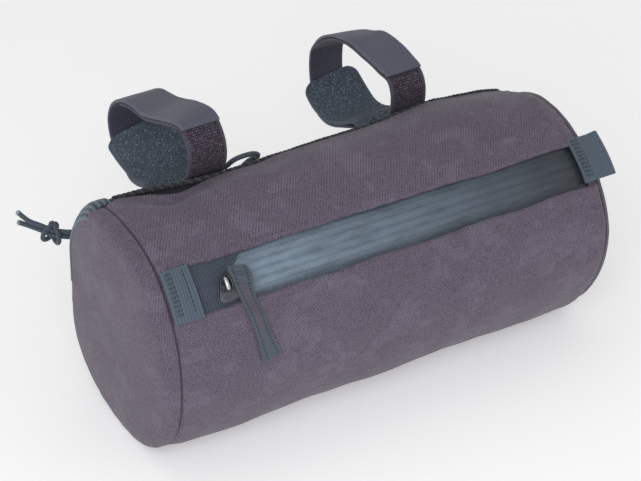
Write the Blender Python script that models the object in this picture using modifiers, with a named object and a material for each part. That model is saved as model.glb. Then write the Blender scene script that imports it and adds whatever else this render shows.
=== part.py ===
"""A padded cloth handlebar bag: a fabric cylinder with bulging ends, a zipped outside pocket and two hook-and-loop
straps. X runs along the bag, +Y points to the handlebar, +Z is up, and the origin is the middle of the flattened
strip of fabric that the bag rests on. Angles are measured from straight up, positive towards the front (-Y)."""

import math

import bpy
import numpy as np

# Body
BODY_LENGTH = 0.235
BODY_RADIUS = 0.060
CENTRE_HEIGHT = 0.056
BACK_DEPTH = 0.0545
WALL = 0.002
GAP = 0.0003
EDGE_CLEARANCE = 0.0010
END_BULGE = 0.0052
BULGE_POWER = 2.3
CORNER_POWER = 14
PANEL_REAR_ANGLE = -88.0
FACET_ANGLE = -38.0
BODY_STATIONS = 20
WRAP_STEPS = 46
PANEL_STEPS = 12
END_STEPS = 44
END_SHARES = [1.0, 0.96, 0.85, 0.66, 0.42, 0.18]
EASE_SHARE = 0.45

# Pocket and zip
SLIT_TOP_ANGLE = 36.0
SLIT_BOTTOM_ANGLE = 57.5
SLIT_END_INSET = 0.0055
TAPE_THICKNESS = 0.001
TAPE_HEM = 0.0042
TAPE_END_HEM = 0.003
ZIP_SEAM_SHARE = 0.46
GARAGE_START = 0.0165
GARAGE_LENGTH = 0.023
SLIDER_LENGTH = 0.0105
SLIDER_WIDTH = 0.0085
SLIDER_HEIGHT = 0.0036
SLIDER_BEVEL_SHARE = 0.28
SLIDER_INSET = 0.031
SLIDER_ANGLE = 48.5
BAIL_RADIUS = 0.0030
BAIL_WIRE = 0.0007
RIBBON_WIDTH = 0.0078
RIBBON_FLARE = 0.0016
FLARE_START_SHARE = 0.8
RIBBON_THICKNESS = 0.0016
RIBBON_LENGTH = 0.040
RIBBON_DRIFT = 0.0075
RIBBON_LIFT = 0.0006

# Webbing and binding tape
WEBBING_WIDTH = 0.0245
WEBBING_THICKNESS = 0.0014
LEFT_TAB_INSET = 0.0010
LEFT_TAB_LENGTH = 0.0150
LEFT_TAB_THICKNESS = 0.0024
RIGHT_TAB_ROOT = 0.0085
RIGHT_TAB_REACH = 0.0105
RIGHT_TAB_SLOT = 0.0010
RETURN_FACE_SHARE = 0.85
MIDDLE_DROOP_SHARE = -0.10
TIP_DROOP_SHARE = -0.60
RETURN_DROOP_SHARE = -0.30
TAB_ANGLE = 47.0
BINDING_THICKNESS = 0.0012
BINDING_OVER_PANEL = 0.004
BINDING_END_SHARE = 0.07
EDGE_BEAD_RADIUS = 0.00115

# Straps
STRAP_WIDTH = 0.0205
STRAP_THICKNESS = 0.0016
FLAP_WIDTH = 0.0285
FLAP_THICKNESS = 0.0018
FLAP_CORNER = 0.006
FLAP_FOOT_LIFT = 0.0011
LEFT_STRAP_X = -0.064
RIGHT_STRAP_X = 0.058
LOOP_DEPTH = 0.085
LOOP_HEIGHT = 0.060
STRAP_STEP = 0.0042
FLAP_STEP = 0.005
FLAP_TAIL_SHARES = [0.35, 0.7, 0.92, 1.0]
BAND_FOOT_ANGLE = -46.0
RISER_FOOT_ANGLE = -6.0
COVER_FRONT_ANGLE = -50.0
COVER_BACK_ANGLE = -57.0

# Cord
CORD_DIAMETER = 0.0025
CORD_STEP = 0.006
CORD_LIFT = 0.0004
ARCH_ASIDE = 0.0006
ARCH_SPAN = 0.0165
ARCH_ANGLE = -31.0
ARCH_HEIGHT = 0.0036
ARCH_LEAN_ANGLE = 6.0
UPPER_ROUTE_ANGLE = -70.0
LOWER_ROUTE_ANGLE = -74.5
TURN_ANGLE = 7.0
TURN_MIDDLE_ANGLE = 2.0
TURN_MIDDLE = 0.002
TURN_REACH = 0.007
CORD_PAST_TAB = 0.006
CORD_TAB_INSET = 0.0175
CORD_TAB_LENGTH = 0.008
TAIL_FAN = 0.0015
KNOT_HEIGHT = 0.0112
KNOT_WIDTH_SHARE = 0.56
KNOT_STRETCH = 1.9
KNOT_WIRE_SHARE = 0.1

# Columns: share of the half length, share of the radius, flat behind the panel edge as a share, panel edge angle
BODY_ROWS = [
    (-1.00, 0.958, 0.950, -13.0),
    (-0.94, 0.985, 0.952, -12.0),
    (-0.80, 1.000, 0.955, -11.0),
    (-0.55, 1.000, 0.957, -11.0),
    (-0.11, 1.000, 0.965, -19.0),
    (0.30, 1.000, 0.980, -26.0),
    (0.52, 1.000, 0.985, -29.0),
    (0.86, 1.000, 0.985, -29.0),
    (0.95, 0.988, 0.975, -29.0),
    (1.00, 0.962, 0.955, -29.0),
]

# Columns: share of the half length, angle, depth as a share of the radius, reach along as a share, reach round
END_LOBES = [
    (-1.00, 30.0, -0.045, 0.10, 20.0),
    (-1.00, 92.0, 0.050, 0.12, 30.0),
    (-0.97, -75.0, 0.030, 0.10, 20.0),
    (1.00, 32.0, 0.025, 0.09, 16.0),
    (1.00, 82.0, -0.030, 0.10, 22.0),
]

# The same columns, for the dips in the wrap alone
WRAP_DIPS = [
    (-0.63, -6.0, 0.062, 0.15, 15.0),
    (-0.32, -10.0, 0.018, 0.10, 12.0),
    (0.10, -12.0, 0.012, 0.20, 12.0),
    (-0.75, 24.0, -0.014, 0.14, 9.0),
    (-0.20, 27.0, -0.016, 0.30, 8.0),
    (0.45, 26.0, -0.016, 0.30, 8.0),
    (-0.55, 68.0, -0.018, 0.28, 9.0),
    (0.20, 67.0, -0.014, 0.35, 8.0),
    (-0.90, 120.0, 0.020, 0.14, 22.0),
    (0.88, 118.0, 0.016, 0.12, 20.0),
    (-0.30, 100.0, 0.008, 0.22, 26.0),
]

# Columns: share of the loop's depth behind the centre line, share of its height above it, share of the strap's lean
LEFT_LOOP_ROWS = [
    (0.245, 0.932, 0.000),
    (0.214, 1.010, 0.000),
    (0.200, 1.075, 0.000),
    (0.192, 1.153, 0.000),
    (0.204, 1.243, 0.000),
    (0.241, 1.315, 0.000),
    (0.297, 1.361, 0.200),
    (0.383, 1.347, 0.600),
    (0.536, 1.270, 1.000),
    (0.667, 1.199, 1.000),
    (0.786, 1.151, 0.900),
    (0.904, 1.136, 0.600),
    (0.997, 1.120, 0.400),
    (1.096, 1.069, 0.100),
    (1.185, 0.986, 0.000),
    (1.235, 0.895, 0.000),
    (1.260, 0.792, 0.000),
    (1.256, 0.698, 0.000),
    (1.236, 0.624, 0.000),
    (1.187, 0.561, 0.000),
    (1.132, 0.503, 0.000),
    (1.069, 0.450, 0.000),
    (1.011, 0.413, 0.000),
    (0.930, 0.419, 0.000),
    (0.847, 0.455, 0.000),
    (0.765, 0.492, 0.000),
]
RIGHT_LOOP_ROWS = [
    (0.388, 0.838, 0.000),
    (0.378, 0.920, 0.000),
    (0.374, 0.985, 0.000),
    (0.376, 1.044, 0.000),
    (0.399, 1.118, 0.000),
    (0.443, 1.162, 0.300),
    (0.533, 1.172, 1.000),
    (0.623, 1.183, 1.500),
    (0.737, 1.200, 1.400),
    (0.853, 1.213, 0.500),
    (0.958, 1.196, -0.600),
    (1.077, 1.147, -1.000),
    (1.186, 1.065, -0.900),
    (1.260, 0.970, -0.300),
    (1.310, 0.870, 0.000),
    (1.330, 0.767, 0.000),
    (1.338, 0.662, 0.000),
    (1.333, 0.565, 0.000),
    (1.321, 0.471, 0.000),
    (1.300, 0.380, 0.000),
    (1.267, 0.313, 0.000),
    (1.217, 0.275, 0.000),
    (1.143, 0.269, 0.000),
    (1.044, 0.305, 0.000),
    (0.935, 0.375, 0.000),
    (0.810, 0.455, 0.000),
]
LEFT_LEAN = 0.0040
RIGHT_LEAN = 0.0022
LEFT_COVER_SHARE = 0.155
RIGHT_COVER_SHARE = 0.115
BAND_END_SHARE = 0.56

# Columns: depth share and height share of the flap's near edge, then of its far edge
LEFT_FLAP_ROWS = [
    (0.690, 0.600, 0.690, 0.602),
    (0.775, 0.563, 0.760, 0.588),
    (0.865, 0.550, 0.830, 0.652),
    (0.960, 0.562, 0.905, 0.700),
    (1.060, 0.588, 0.990, 0.742),
    (1.150, 0.615, 1.060, 0.752),
    (1.192, 0.655, 1.095, 0.757),
]
RIGHT_FLAP_ROWS = [
    (0.695, 0.590, 0.695, 0.597),
    (0.815, 0.505, 0.815, 0.520),
    (0.930, 0.425, 0.930, 0.455),
    (1.045, 0.385, 1.020, 0.455),
    (1.156, 0.395, 1.105, 0.505),
    (1.230, 0.440, 1.175, 0.560),
    (1.279, 0.498, 1.240, 0.612),
    (1.303, 0.560, 1.290, 0.652),
]

# Columns: share of half the span, share of the arch's lean forwards, share of its height
ARCH_ROWS = [
    (-1.00, 0.0, 0.00),
    (-1.00, 0.45, 0.10),
    (-0.94, 0.85, 0.48),
    (-0.55, 1.0, 0.90),
    (0.00, 1.0, 1.00),
    (0.55, 1.0, 0.90),
    (0.94, 0.85, 0.48),
    (1.00, 0.45, 0.10),
    (1.00, 0.0, 0.00),
]

# Columns, as shares of the body's radius: how far out past the left end, behind the centre line, above it
KNOT_ROWS = [
    (-0.0667, 1.0000, 0.3167),
    (0.0333, 1.0417, 0.3333),
    (0.1333, 1.1133, 0.3467),
    (0.2083, 1.1750, 0.3533),
    (0.2750, 1.2500, 0.3750),
    (0.3333, 1.3333, 0.4083),
]
KNOT_ROW = 3

# Columns: degrees before the upper strand's route or past the lower one's, share of the rise over the strands
CORD_TAB_ROWS = [(9.0, 0.0), (5.5, 0.0), (2.4, 1.0)]

# Columns: name, red, green, blue, roughness, metallic
MATERIALS = [
    ("body_fabric", 0.117, 0.093, 0.120, 0.9, 0.0),
    ("panel_fabric", 0.012, 0.012, 0.014, 0.9, 0.0),
    ("coated_tape", 0.070, 0.105, 0.130, 0.35, 0.0),
    ("grey_webbing", 0.075, 0.105, 0.125, 0.8, 0.0),
    ("strap_tape", 0.095, 0.095, 0.115, 0.7, 0.0),
    ("hook_tape", 0.070, 0.045, 0.060, 0.8, 0.0),
    ("pile_fabric", 0.075, 0.105, 0.120, 0.95, 0.0),
    ("slider_metal", 0.030, 0.032, 0.036, 0.25, 1.0),
    ("elastic_cord", 0.045, 0.065, 0.080, 0.8, 0.0),
]


def clear_scene():
    for o in list(bpy.data.objects):
        bpy.data.objects.remove(o, do_unlink=True)


def make_materials():
    made = {}
    for name, red, green, blue, roughness, metallic in MATERIALS:
        material = bpy.data.materials.new(name)
        material.use_nodes = True
        shader = material.node_tree.nodes["Principled BSDF"]
        shader.inputs["Base Color"].default_value = (red, green, blue, 1.0)
        shader.inputs["Roughness"].default_value = roughness
        shader.inputs["Metallic"].default_value = metallic
        made[name] = material
    return made


def half_length():
    return BODY_LENGTH / 2


def column(x, index):
    rows = np.array(BODY_ROWS)
    return float(np.interp(x / half_length(), rows[:, 0], rows[:, index]))


def bumps(table, x, angle):
    total = 0.0
    for share, centre, depth, along, round_ in table:
        across = (angle - centre + 180.0) % 360.0 - 180.0
        total += depth * math.exp(-(((x / half_length() - share) / along) ** 2) - (across / round_) ** 2)
    return total * BODY_RADIUS


def section_radius(x, angle):
    """The outer radius of the bag: a circle flattened behind the panel's edge and at the back."""
    turn = math.radians(angle)
    full = BODY_RADIUS * column(x, 1)
    sides = [1 / full]
    facing = math.cos(turn - math.radians(FACET_ANGLE))
    if facing > 0:
        sides.append(facing / (full * column(x, 2)))
    if -math.sin(turn) > 0:
        sides.append(-math.sin(turn) / (BACK_DEPTH * column(x, 1)))
    blend = sum(side**CORNER_POWER for side in sides)
    return blend ** (-1 / CORNER_POWER) - bumps(END_LOBES, x, angle)


def wrap_radius(x, angle):
    return section_radius(x, angle) - bumps(WRAP_DIPS, x, angle)


def at(x, angle, radius):
    turn = math.radians(angle)
    height = CENTRE_HEIGHT + radius * math.cos(turn)
    return (x, -radius * math.sin(turn), max(height, 0.0))


def panel_edge_angle(x):
    return column(x, 3)


def degrees_of(arc):
    return math.degrees(arc / BODY_RADIUS)


def stations(start, end, count):
    """Shares along the bag, closer together near its ends."""
    turn = np.linspace(0, math.pi, count)
    even = np.linspace(0, 1, count)
    eased = (1 - np.cos(turn)) / 2
    return start + (end - start) * ((1 - EASE_SHARE) * even + EASE_SHARE * eased)


def smooth_curve(points, step):
    """A smooth line through the points, read at an even step."""
    points = np.array(points, dtype=float)
    ends = np.vstack([2 * points[0] - points[1], points, 2 * points[-1] - points[-2]])
    fine = []
    for i in range(1, len(ends) - 2):
        a, b, c, d = ends[i - 1], ends[i], ends[i + 1], ends[i + 2]
        for t in np.linspace(0, 1, 12, endpoint=False):
            fine.append(
                0.5 * (2 * b + (c - a) * t + (2 * a - 5 * b + 4 * c - d) * t**2 + (3 * b - a - 3 * c + d) * t**3)
            )
    fine.append(points[-1])
    fine = np.array(fine)
    run = np.concatenate([[0.0], np.cumsum(np.linalg.norm(np.diff(fine, axis=0), axis=1))])
    count = max(3, int(round(run[-1] / step)) + 1)
    wanted = np.linspace(0, run[-1], count)
    return np.stack([np.interp(wanted, run, fine[:, k]) for k in range(fine.shape[1])], axis=1)


def new_object(name, data, material, home):
    made = bpy.data.objects.new(name, data)
    if material:
        data.materials.append(material)
    home.objects.link(made)
    return made


def grid_mesh(name, rows, closed=False):
    """An open surface from rows of points; the rows' order sets which way it faces."""
    rows = np.array(rows, dtype=float)
    count, across = rows.shape[:2]
    faces = []
    for i in range(count - 1):
        for j in range(across if closed else across - 1):
            k = (j + 1) % across
            faces.append((i * across + j, i * across + k, (i + 1) * across + k, (i + 1) * across + j))
    mesh = bpy.data.meshes.new(name)
    mesh.from_pydata([tuple(p) for p in rows.reshape(-1, 3)], [], faces)
    mesh.update()
    return mesh


def thicken(made, thickness, offset):
    solid = made.modifiers.new("Wall", "SOLIDIFY")
    solid.thickness = thickness
    solid.offset = offset
    solid.use_even_offset = True
    solid.use_rim = True
    return solid


def round_sheet(name, x_range, angles, radius_of, thickness, material, home, across=16, round_=10):
    """A sheet that follows the bag's surface, its outer face at radius_of, thickened inwards."""
    first, last = angles
    rows = []
    for x in stations(x_range[0], x_range[1], across):
        start = first(x) if callable(first) else first
        end = last(x) if callable(last) else last
        rows.append([at(x, a, radius_of(x, a)) for a in np.linspace(start, end, round_)])
    made = new_object(name, grid_mesh(name, rows), material, home)
    thicken(made, thickness, -1.0)
    return made


def make_body(colours, home, cutters):
    end = half_length()
    gap_angle = degrees_of(EDGE_CLEARANCE)
    wrap = round_sheet(
        "body_wrap",
        (-end, end),
        (lambda x: panel_edge_angle(x) + gap_angle, 360.0 + PANEL_REAR_ANGLE - gap_angle),
        wrap_radius,
        WALL,
        colours["body_fabric"],
        home,
        BODY_STATIONS,
        WRAP_STEPS,
    )
    slit_x = end - SLIT_END_INSET
    slit = round_sheet(
        "slit_cutter",
        (-slit_x, slit_x),
        (SLIT_TOP_ANGLE, SLIT_BOTTOM_ANGLE),
        lambda x, a: wrap_radius(x, a) + 2 * WALL,
        5 * WALL,
        None,
        cutters,
        BODY_STATIONS,
        6,
    )
    cut = wrap.modifiers.new("Slit", "BOOLEAN")
    cut.operation = "DIFFERENCE"
    cut.solver = "EXACT"
    cut.object = slit
    round_sheet(
        "mount_panel",
        (-end, end),
        (PANEL_REAR_ANGLE, panel_edge_angle),
        section_radius,
        WALL,
        colours["panel_fabric"],
        home,
        BODY_STATIONS,
        PANEL_STEPS,
    )


def end_face_x(share):
    """How far out the end panel's outer face is, at a share of the way from its middle to its rim."""
    return half_length() + GAP + WALL + END_BULGE * (1 - share**BULGE_POWER)


def make_end(name, side, colours, home):
    angles = np.linspace(0, 360, END_STEPS, endpoint=False)
    rim_x = side * half_length()
    rim = np.array([at(rim_x, a, section_radius(rim_x, a)) for a in angles])
    middle = np.array((0.0, 0.0, CENTRE_HEIGHT))
    points = []
    for share in END_SHARES:
        for p in rim:
            q = middle + share * (p - middle)
            points.append((side * end_face_x(share), q[1], q[2]))
    points.append((side * end_face_x(0.0), 0.0, CENTRE_HEIGHT))
    count = len(angles)
    faces = []
    for i in range(len(END_SHARES) - 1):
        for j in range(count):
            k = (j + 1) % count
            faces.append((i * count + j, i * count + k, (i + 1) * count + k, (i + 1) * count + j))
    last = (len(END_SHARES) - 1) * count
    faces += [(last + j, last + (j + 1) % count, len(points) - 1) for j in range(count)]
    if side < 0:
        faces = [tuple(reversed(f)) for f in faces]
    mesh = bpy.data.meshes.new(name)
    mesh.from_pydata(points, [], faces)
    mesh.update()
    made = new_object(name, mesh, colours["body_fabric"], home)
    thicken(made, WALL, -1.0)


def make_binding(name, side, colours, home):
    """Tape folded over the panel's end: on the panel, over the rim and onto the end's outer face."""
    lift = GAP + BINDING_THICKNESS
    rim_x = side * half_length()
    onto = 1 - BINDING_END_SHARE
    rows = []
    front = panel_edge_angle(rim_x) - degrees_of(2 * EDGE_BEAD_RADIUS + GAP)
    for angle in np.linspace(PANEL_REAR_ANGLE, front, 14):
        inner_x = rim_x - side * BINDING_OVER_PANEL
        rim = section_radius(rim_x, angle)
        row = [
            at(inner_x, angle, section_radius(inner_x, angle) + lift),
            at(rim_x, angle, rim + lift),
            at(side * (end_face_x(1.0) + lift), angle, rim + lift),
            at(side * (end_face_x(onto) + lift), angle, rim * onto),
        ]
        rows.append(row if side < 0 else row[::-1])
    made = new_object(name, grid_mesh(name, rows), colours["grey_webbing"], home)
    thicken(made, BINDING_THICKNESS, -1.0)


def make_edge(colours, home):
    """The beaded strip, a round bead along the panel's front edge and just above it."""
    reach = half_length() - BINDING_OVER_PANEL - GAP - EDGE_BEAD_RADIUS
    points = []
    for x in np.linspace(-reach, reach, 27):
        angle = panel_edge_angle(x)
        points.append(at(x, angle, section_radius(x, angle) + GAP + EDGE_BEAD_RADIUS))
    tube("panel_edge", points, EDGE_BEAD_RADIUS, colours["panel_fabric"], home)


def tube(name, points, radius, material, home):
    curve = bpy.data.curves.new(name, "CURVE")
    curve.dimensions = "3D"
    curve.bevel_depth = radius
    curve.bevel_resolution = 2
    curve.use_fill_caps = True
    spline = curve.splines.new("POLY")
    spline.points.add(len(points) - 1)
    for target, p in zip(spline.points, points):
        target.co = (*p, 1.0)
    return new_object(name, curve, material, home)


def make_pocket(colours, home):
    slit_x = half_length() - SLIT_END_INSET
    tape_x = slit_x + TAPE_END_HEM
    hem = degrees_of(TAPE_HEM)
    seam = SLIT_TOP_ANGLE + ZIP_SEAM_SHARE * (SLIT_BOTTOM_ANGLE - SLIT_TOP_ANGLE)
    half_gap = degrees_of(GAP) / 2

    def under(x, a):
        return wrap_radius(x, a) - WALL - GAP

    spans = {
        "pocket_zip_upper": (SLIT_TOP_ANGLE - hem, seam - half_gap),
        "pocket_zip_lower": (seam + half_gap, SLIT_BOTTOM_ANGLE + hem),
    }
    for name, span in spans.items():
        round_sheet(name, (-tape_x, tape_x), span, under, TAPE_THICKNESS, colours["coated_tape"], home, 16, 5)
    start = -half_length() + GARAGE_START
    edge = degrees_of(2 * GAP)
    round_sheet(
        "pocket_zip_garage",
        (start, start + GARAGE_LENGTH),
        (SLIT_TOP_ANGLE + edge, SLIT_BOTTOM_ANGLE - edge),
        lambda x, a: under(x, a) + GAP + TAPE_THICKNESS,
        TAPE_THICKNESS,
        colours["grey_webbing"],
        home,
        5,
        7,
    )
    make_slider(colours, home)


def make_slider(colours, home):
    slider_x = -half_length() + SLIDER_INSET
    floor = wrap_radius(slider_x, SLIDER_ANGLE) - WALL + TAPE_THICKNESS
    base = floor + 2 * GAP
    bpy.ops.mesh.primitive_cube_add(size=1.0, location=at(slider_x, SLIDER_ANGLE, base + SLIDER_HEIGHT / 2))
    slider = adopt("zip_slider", colours["slider_metal"], home)
    slider.scale = (SLIDER_LENGTH, SLIDER_WIDTH, SLIDER_HEIGHT)
    slider.rotation_euler = (math.radians(SLIDER_ANGLE), 0.0, 0.0)
    bake(slider)
    bevel = slider.modifiers.new("Edges", "BEVEL")
    bevel.width = SLIDER_HEIGHT * SLIDER_BEVEL_SHARE
    bevel.segments = 2
    bail_x = slider_x + SLIDER_LENGTH / 2 + GAP + BAIL_RADIUS + BAIL_WIRE
    bail_at = at(bail_x, SLIDER_ANGLE, wrap_radius(bail_x, SLIDER_ANGLE) + BAIL_WIRE)
    bpy.ops.mesh.primitive_torus_add(
        major_radius=BAIL_RADIUS,
        minor_radius=BAIL_WIRE,
        major_segments=20,
        minor_segments=8,
        location=bail_at,
        rotation=(math.radians(SLIDER_ANGLE), 0.0, 0.0),
    )
    adopt("zip_puller", colours["slider_metal"], home)
    first = SLIDER_ANGLE + degrees_of(BAIL_RADIUS + BAIL_WIRE + GAP + RIBBON_THICKNESS / 2)
    rows = []
    for share in np.linspace(0, 1, 12):
        angle = first + share * degrees_of(RIBBON_LENGTH)
        x = bail_x + share * RIBBON_DRIFT
        flare = RIBBON_FLARE * max(0.0, (share - FLARE_START_SHARE) / (1 - FLARE_START_SHARE))
        half = (RIBBON_WIDTH + flare) / 2
        rows.append(
            [
                at(x + side * half, angle, ribbon_radius(x + side * half, angle) + RIBBON_THICKNESS)
                for side in (-1, 0, 1)
            ]
        )
    rows = [row[::-1] for row in rows]
    made = new_object("zip_ribbon", grid_mesh("zip_ribbon", rows), colours["grey_webbing"], home)
    thicken(made, RIBBON_THICKNESS, -1.0)


def ribbon_radius(x, angle):
    """The ribbon's under face: it rides over the edge of the slit and lies on the fabric below."""
    return max(wrap_radius(x, angle), wrap_radius(x, SLIT_BOTTOM_ANGLE)) + RIBBON_LIFT


def adopt(name, material, home):
    made = bpy.context.active_object
    made.name = name
    made.data.name = name
    made.data.materials.append(material)
    for other in list(made.users_collection):
        other.objects.unlink(made)
    home.objects.link(made)
    return made


def bake(made):
    """The object's own scale and turn written into its mesh, so that a bevel is even."""
    bpy.context.view_layer.update()
    made.data.transform(made.matrix_world)
    made.matrix_world.identity()
    made.location = (0.0, 0.0, 0.0)
    made.rotation_euler = (0.0, 0.0, 0.0)
    made.scale = (1.0, 1.0, 1.0)


def make_tabs(colours, home):
    half_angle = degrees_of(WEBBING_WIDTH) / 2
    span = (TAB_ANGLE - half_angle, TAB_ANGLE + half_angle)
    end = half_length()
    round_sheet(
        "webbing_tab_left",
        (-end + LEFT_TAB_INSET, -end + LEFT_TAB_INSET + LEFT_TAB_LENGTH),
        span,
        lambda x, a: wrap_radius(x, a) + GAP + LEFT_TAB_THICKNESS,
        LEFT_TAB_THICKNESS,
        colours["grey_webbing"],
        home,
        6,
        9,
    )
    lift = GAP + WEBBING_THICKNESS / 2
    drop = WEBBING_THICKNESS + RIGHT_TAB_SLOT
    tip = end + RIGHT_TAB_REACH
    rows = []
    for a in np.linspace(span[0], span[1], 9):
        root = wrap_radius(end - RIGHT_TAB_ROOT, a) + lift
        rim = wrap_radius(end, a) + lift
        droop = root - rim
        low = rim - TIP_DROOP_SHARE * droop
        path = [
            (end - RIGHT_TAB_ROOT, root),
            (end - RIGHT_TAB_ROOT / 2, wrap_radius(end - RIGHT_TAB_ROOT / 2, a) + lift),
            (end, rim),
            (end_face_x(1.0) + 2 * GAP, rim + GAP),
            (end + RIGHT_TAB_REACH / 2 + GAP, rim - MIDDLE_DROOP_SHARE * droop),
            (tip - drop / 2, low),
            (tip, low - drop / 2),
            (tip - drop / 2, low - drop),
            (end_face_x(RETURN_FACE_SHARE) + WEBBING_THICKNESS, rim - RETURN_DROOP_SHARE * droop - drop),
        ]
        rows.append([at(x, a, r) for x, r in path])
    made = new_object("webbing_tab_right", grid_mesh("webbing_tab_right", rows), colours["grey_webbing"], home)
    thicken(made, WEBBING_THICKNESS, 0.0)


def loop_point(back, height):
    return (back * LOOP_DEPTH, CENTRE_HEIGHT + height * LOOP_HEIGHT)


def on_panel(x, angle, lift):
    p = at(x, angle, section_radius(x, angle) + lift)
    return (p[1], p[2])


def offset_line(line, distance):
    """The line moved sideways, to its left as it runs."""
    along = np.gradient(line, axis=0)
    along /= np.linalg.norm(along, axis=1)[:, None]
    left = np.stack([-along[:, 1], along[:, 0]], axis=1)
    return line + left * distance


def strap_sheet(name, centre_x, width, near, far, thickness, material, home, corner=0.0):
    """A strip of tape from two edge lines in Y and Z; corner rounds its far end."""
    near = np.array(near)
    far = np.array(far)
    run = np.concatenate([[0.0], np.cumsum(np.linalg.norm(np.diff(near, axis=0), axis=1))])
    rows = []
    for i in range(len(near)):
        half = width / 2
        left = run[-1] - run[i]
        if left < corner:
            half -= corner - math.sqrt(max(corner**2 - (corner - left) ** 2, 0.0))
        share = 0.5 - half / width
        a = near[i] + share * (far[i] - near[i])
        b = far[i] - share * (far[i] - near[i])
        rows.append([(centre_x - half, *a), (centre_x + half, *b)])
    made = new_object(name, grid_mesh(name, rows), material, home)
    thicken(made, thickness, 0.0)


def make_strap(side_name, centre_x, loop_rows, flap_rows, lean, cover_start, colours, home):
    run = smooth_curve([(*loop_point(back, height), share * lean) for back, height, share in loop_rows], STRAP_STEP)
    contact, lift = run[:, :2], run[:, 2]
    share = np.linspace(0, 1, len(contact))
    aside = (STRAP_THICKNESS + GAP) / 2
    inner = offset_line(contact, -aside)
    outer = offset_line(contact, aside)
    rest = GAP + STRAP_THICKNESS / 2
    foot = [on_panel(centre_x, a, rest) for a in np.linspace(BAND_FOOT_ANGLE, front_foot(inner[0]), 5)]
    use = share <= BAND_END_SHARE
    near = np.vstack([foot, inner[use]])
    band_lift = np.concatenate([np.zeros(len(near) - use.sum()), lift[use]])
    strap_sheet(
        f"strap_{side_name}_band",
        centre_x,
        STRAP_WIDTH,
        near,
        near + np.stack([0 * band_lift, band_lift], axis=1),
        STRAP_THICKNESS,
        colours["hook_tape"],
        home,
    )

    foot = [on_panel(centre_x, a, rest) for a in np.linspace(COVER_BACK_ANGLE, COVER_FRONT_ANGLE, 3)]
    use = share >= cover_start
    near = np.vstack([outer[use], foot])
    cover_lift = np.concatenate([lift[use], np.zeros(len(near) - use.sum())])
    strap_sheet(
        f"strap_{side_name}_cover",
        centre_x,
        STRAP_WIDTH,
        near,
        near + np.stack([0 * cover_lift, cover_lift], axis=1),
        STRAP_THICKNESS,
        colours["strap_tape"],
        home,
    )

    lift_flap = rest + STRAP_THICKNESS / 2 + FLAP_THICKNESS / 2 + GAP + FLAP_FOOT_LIFT
    foot = [on_panel(centre_x, a, lift_flap) for a in np.linspace(COVER_FRONT_ANGLE, COVER_BACK_ANGLE, 3)]
    rows = [(*p, *p) for p in foot]
    for near_back, near_height, far_back, far_height in flap_rows:
        rows.append((*loop_point(near_back, near_height), *loop_point(far_back, far_height)))
    line = smooth_curve(rows, FLAP_STEP)
    tail = [line[-2] + share * (line[-1] - line[-2]) for share in FLAP_TAIL_SHARES]
    line = np.vstack([line[:-1], tail])
    strap_sheet(
        f"strap_{side_name}_flap",
        centre_x,
        FLAP_WIDTH,
        line[:, :2],
        line[:, 2:],
        FLAP_THICKNESS,
        colours["pile_fabric"],
        home,
        FLAP_CORNER,
    )


def front_foot(point):
    """The angle on the panel just behind where the riser leaves it."""
    return math.degrees(math.atan2(-point[0], point[1] - CENTRE_HEIGHT)) + RISER_FOOT_ANGLE


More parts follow.
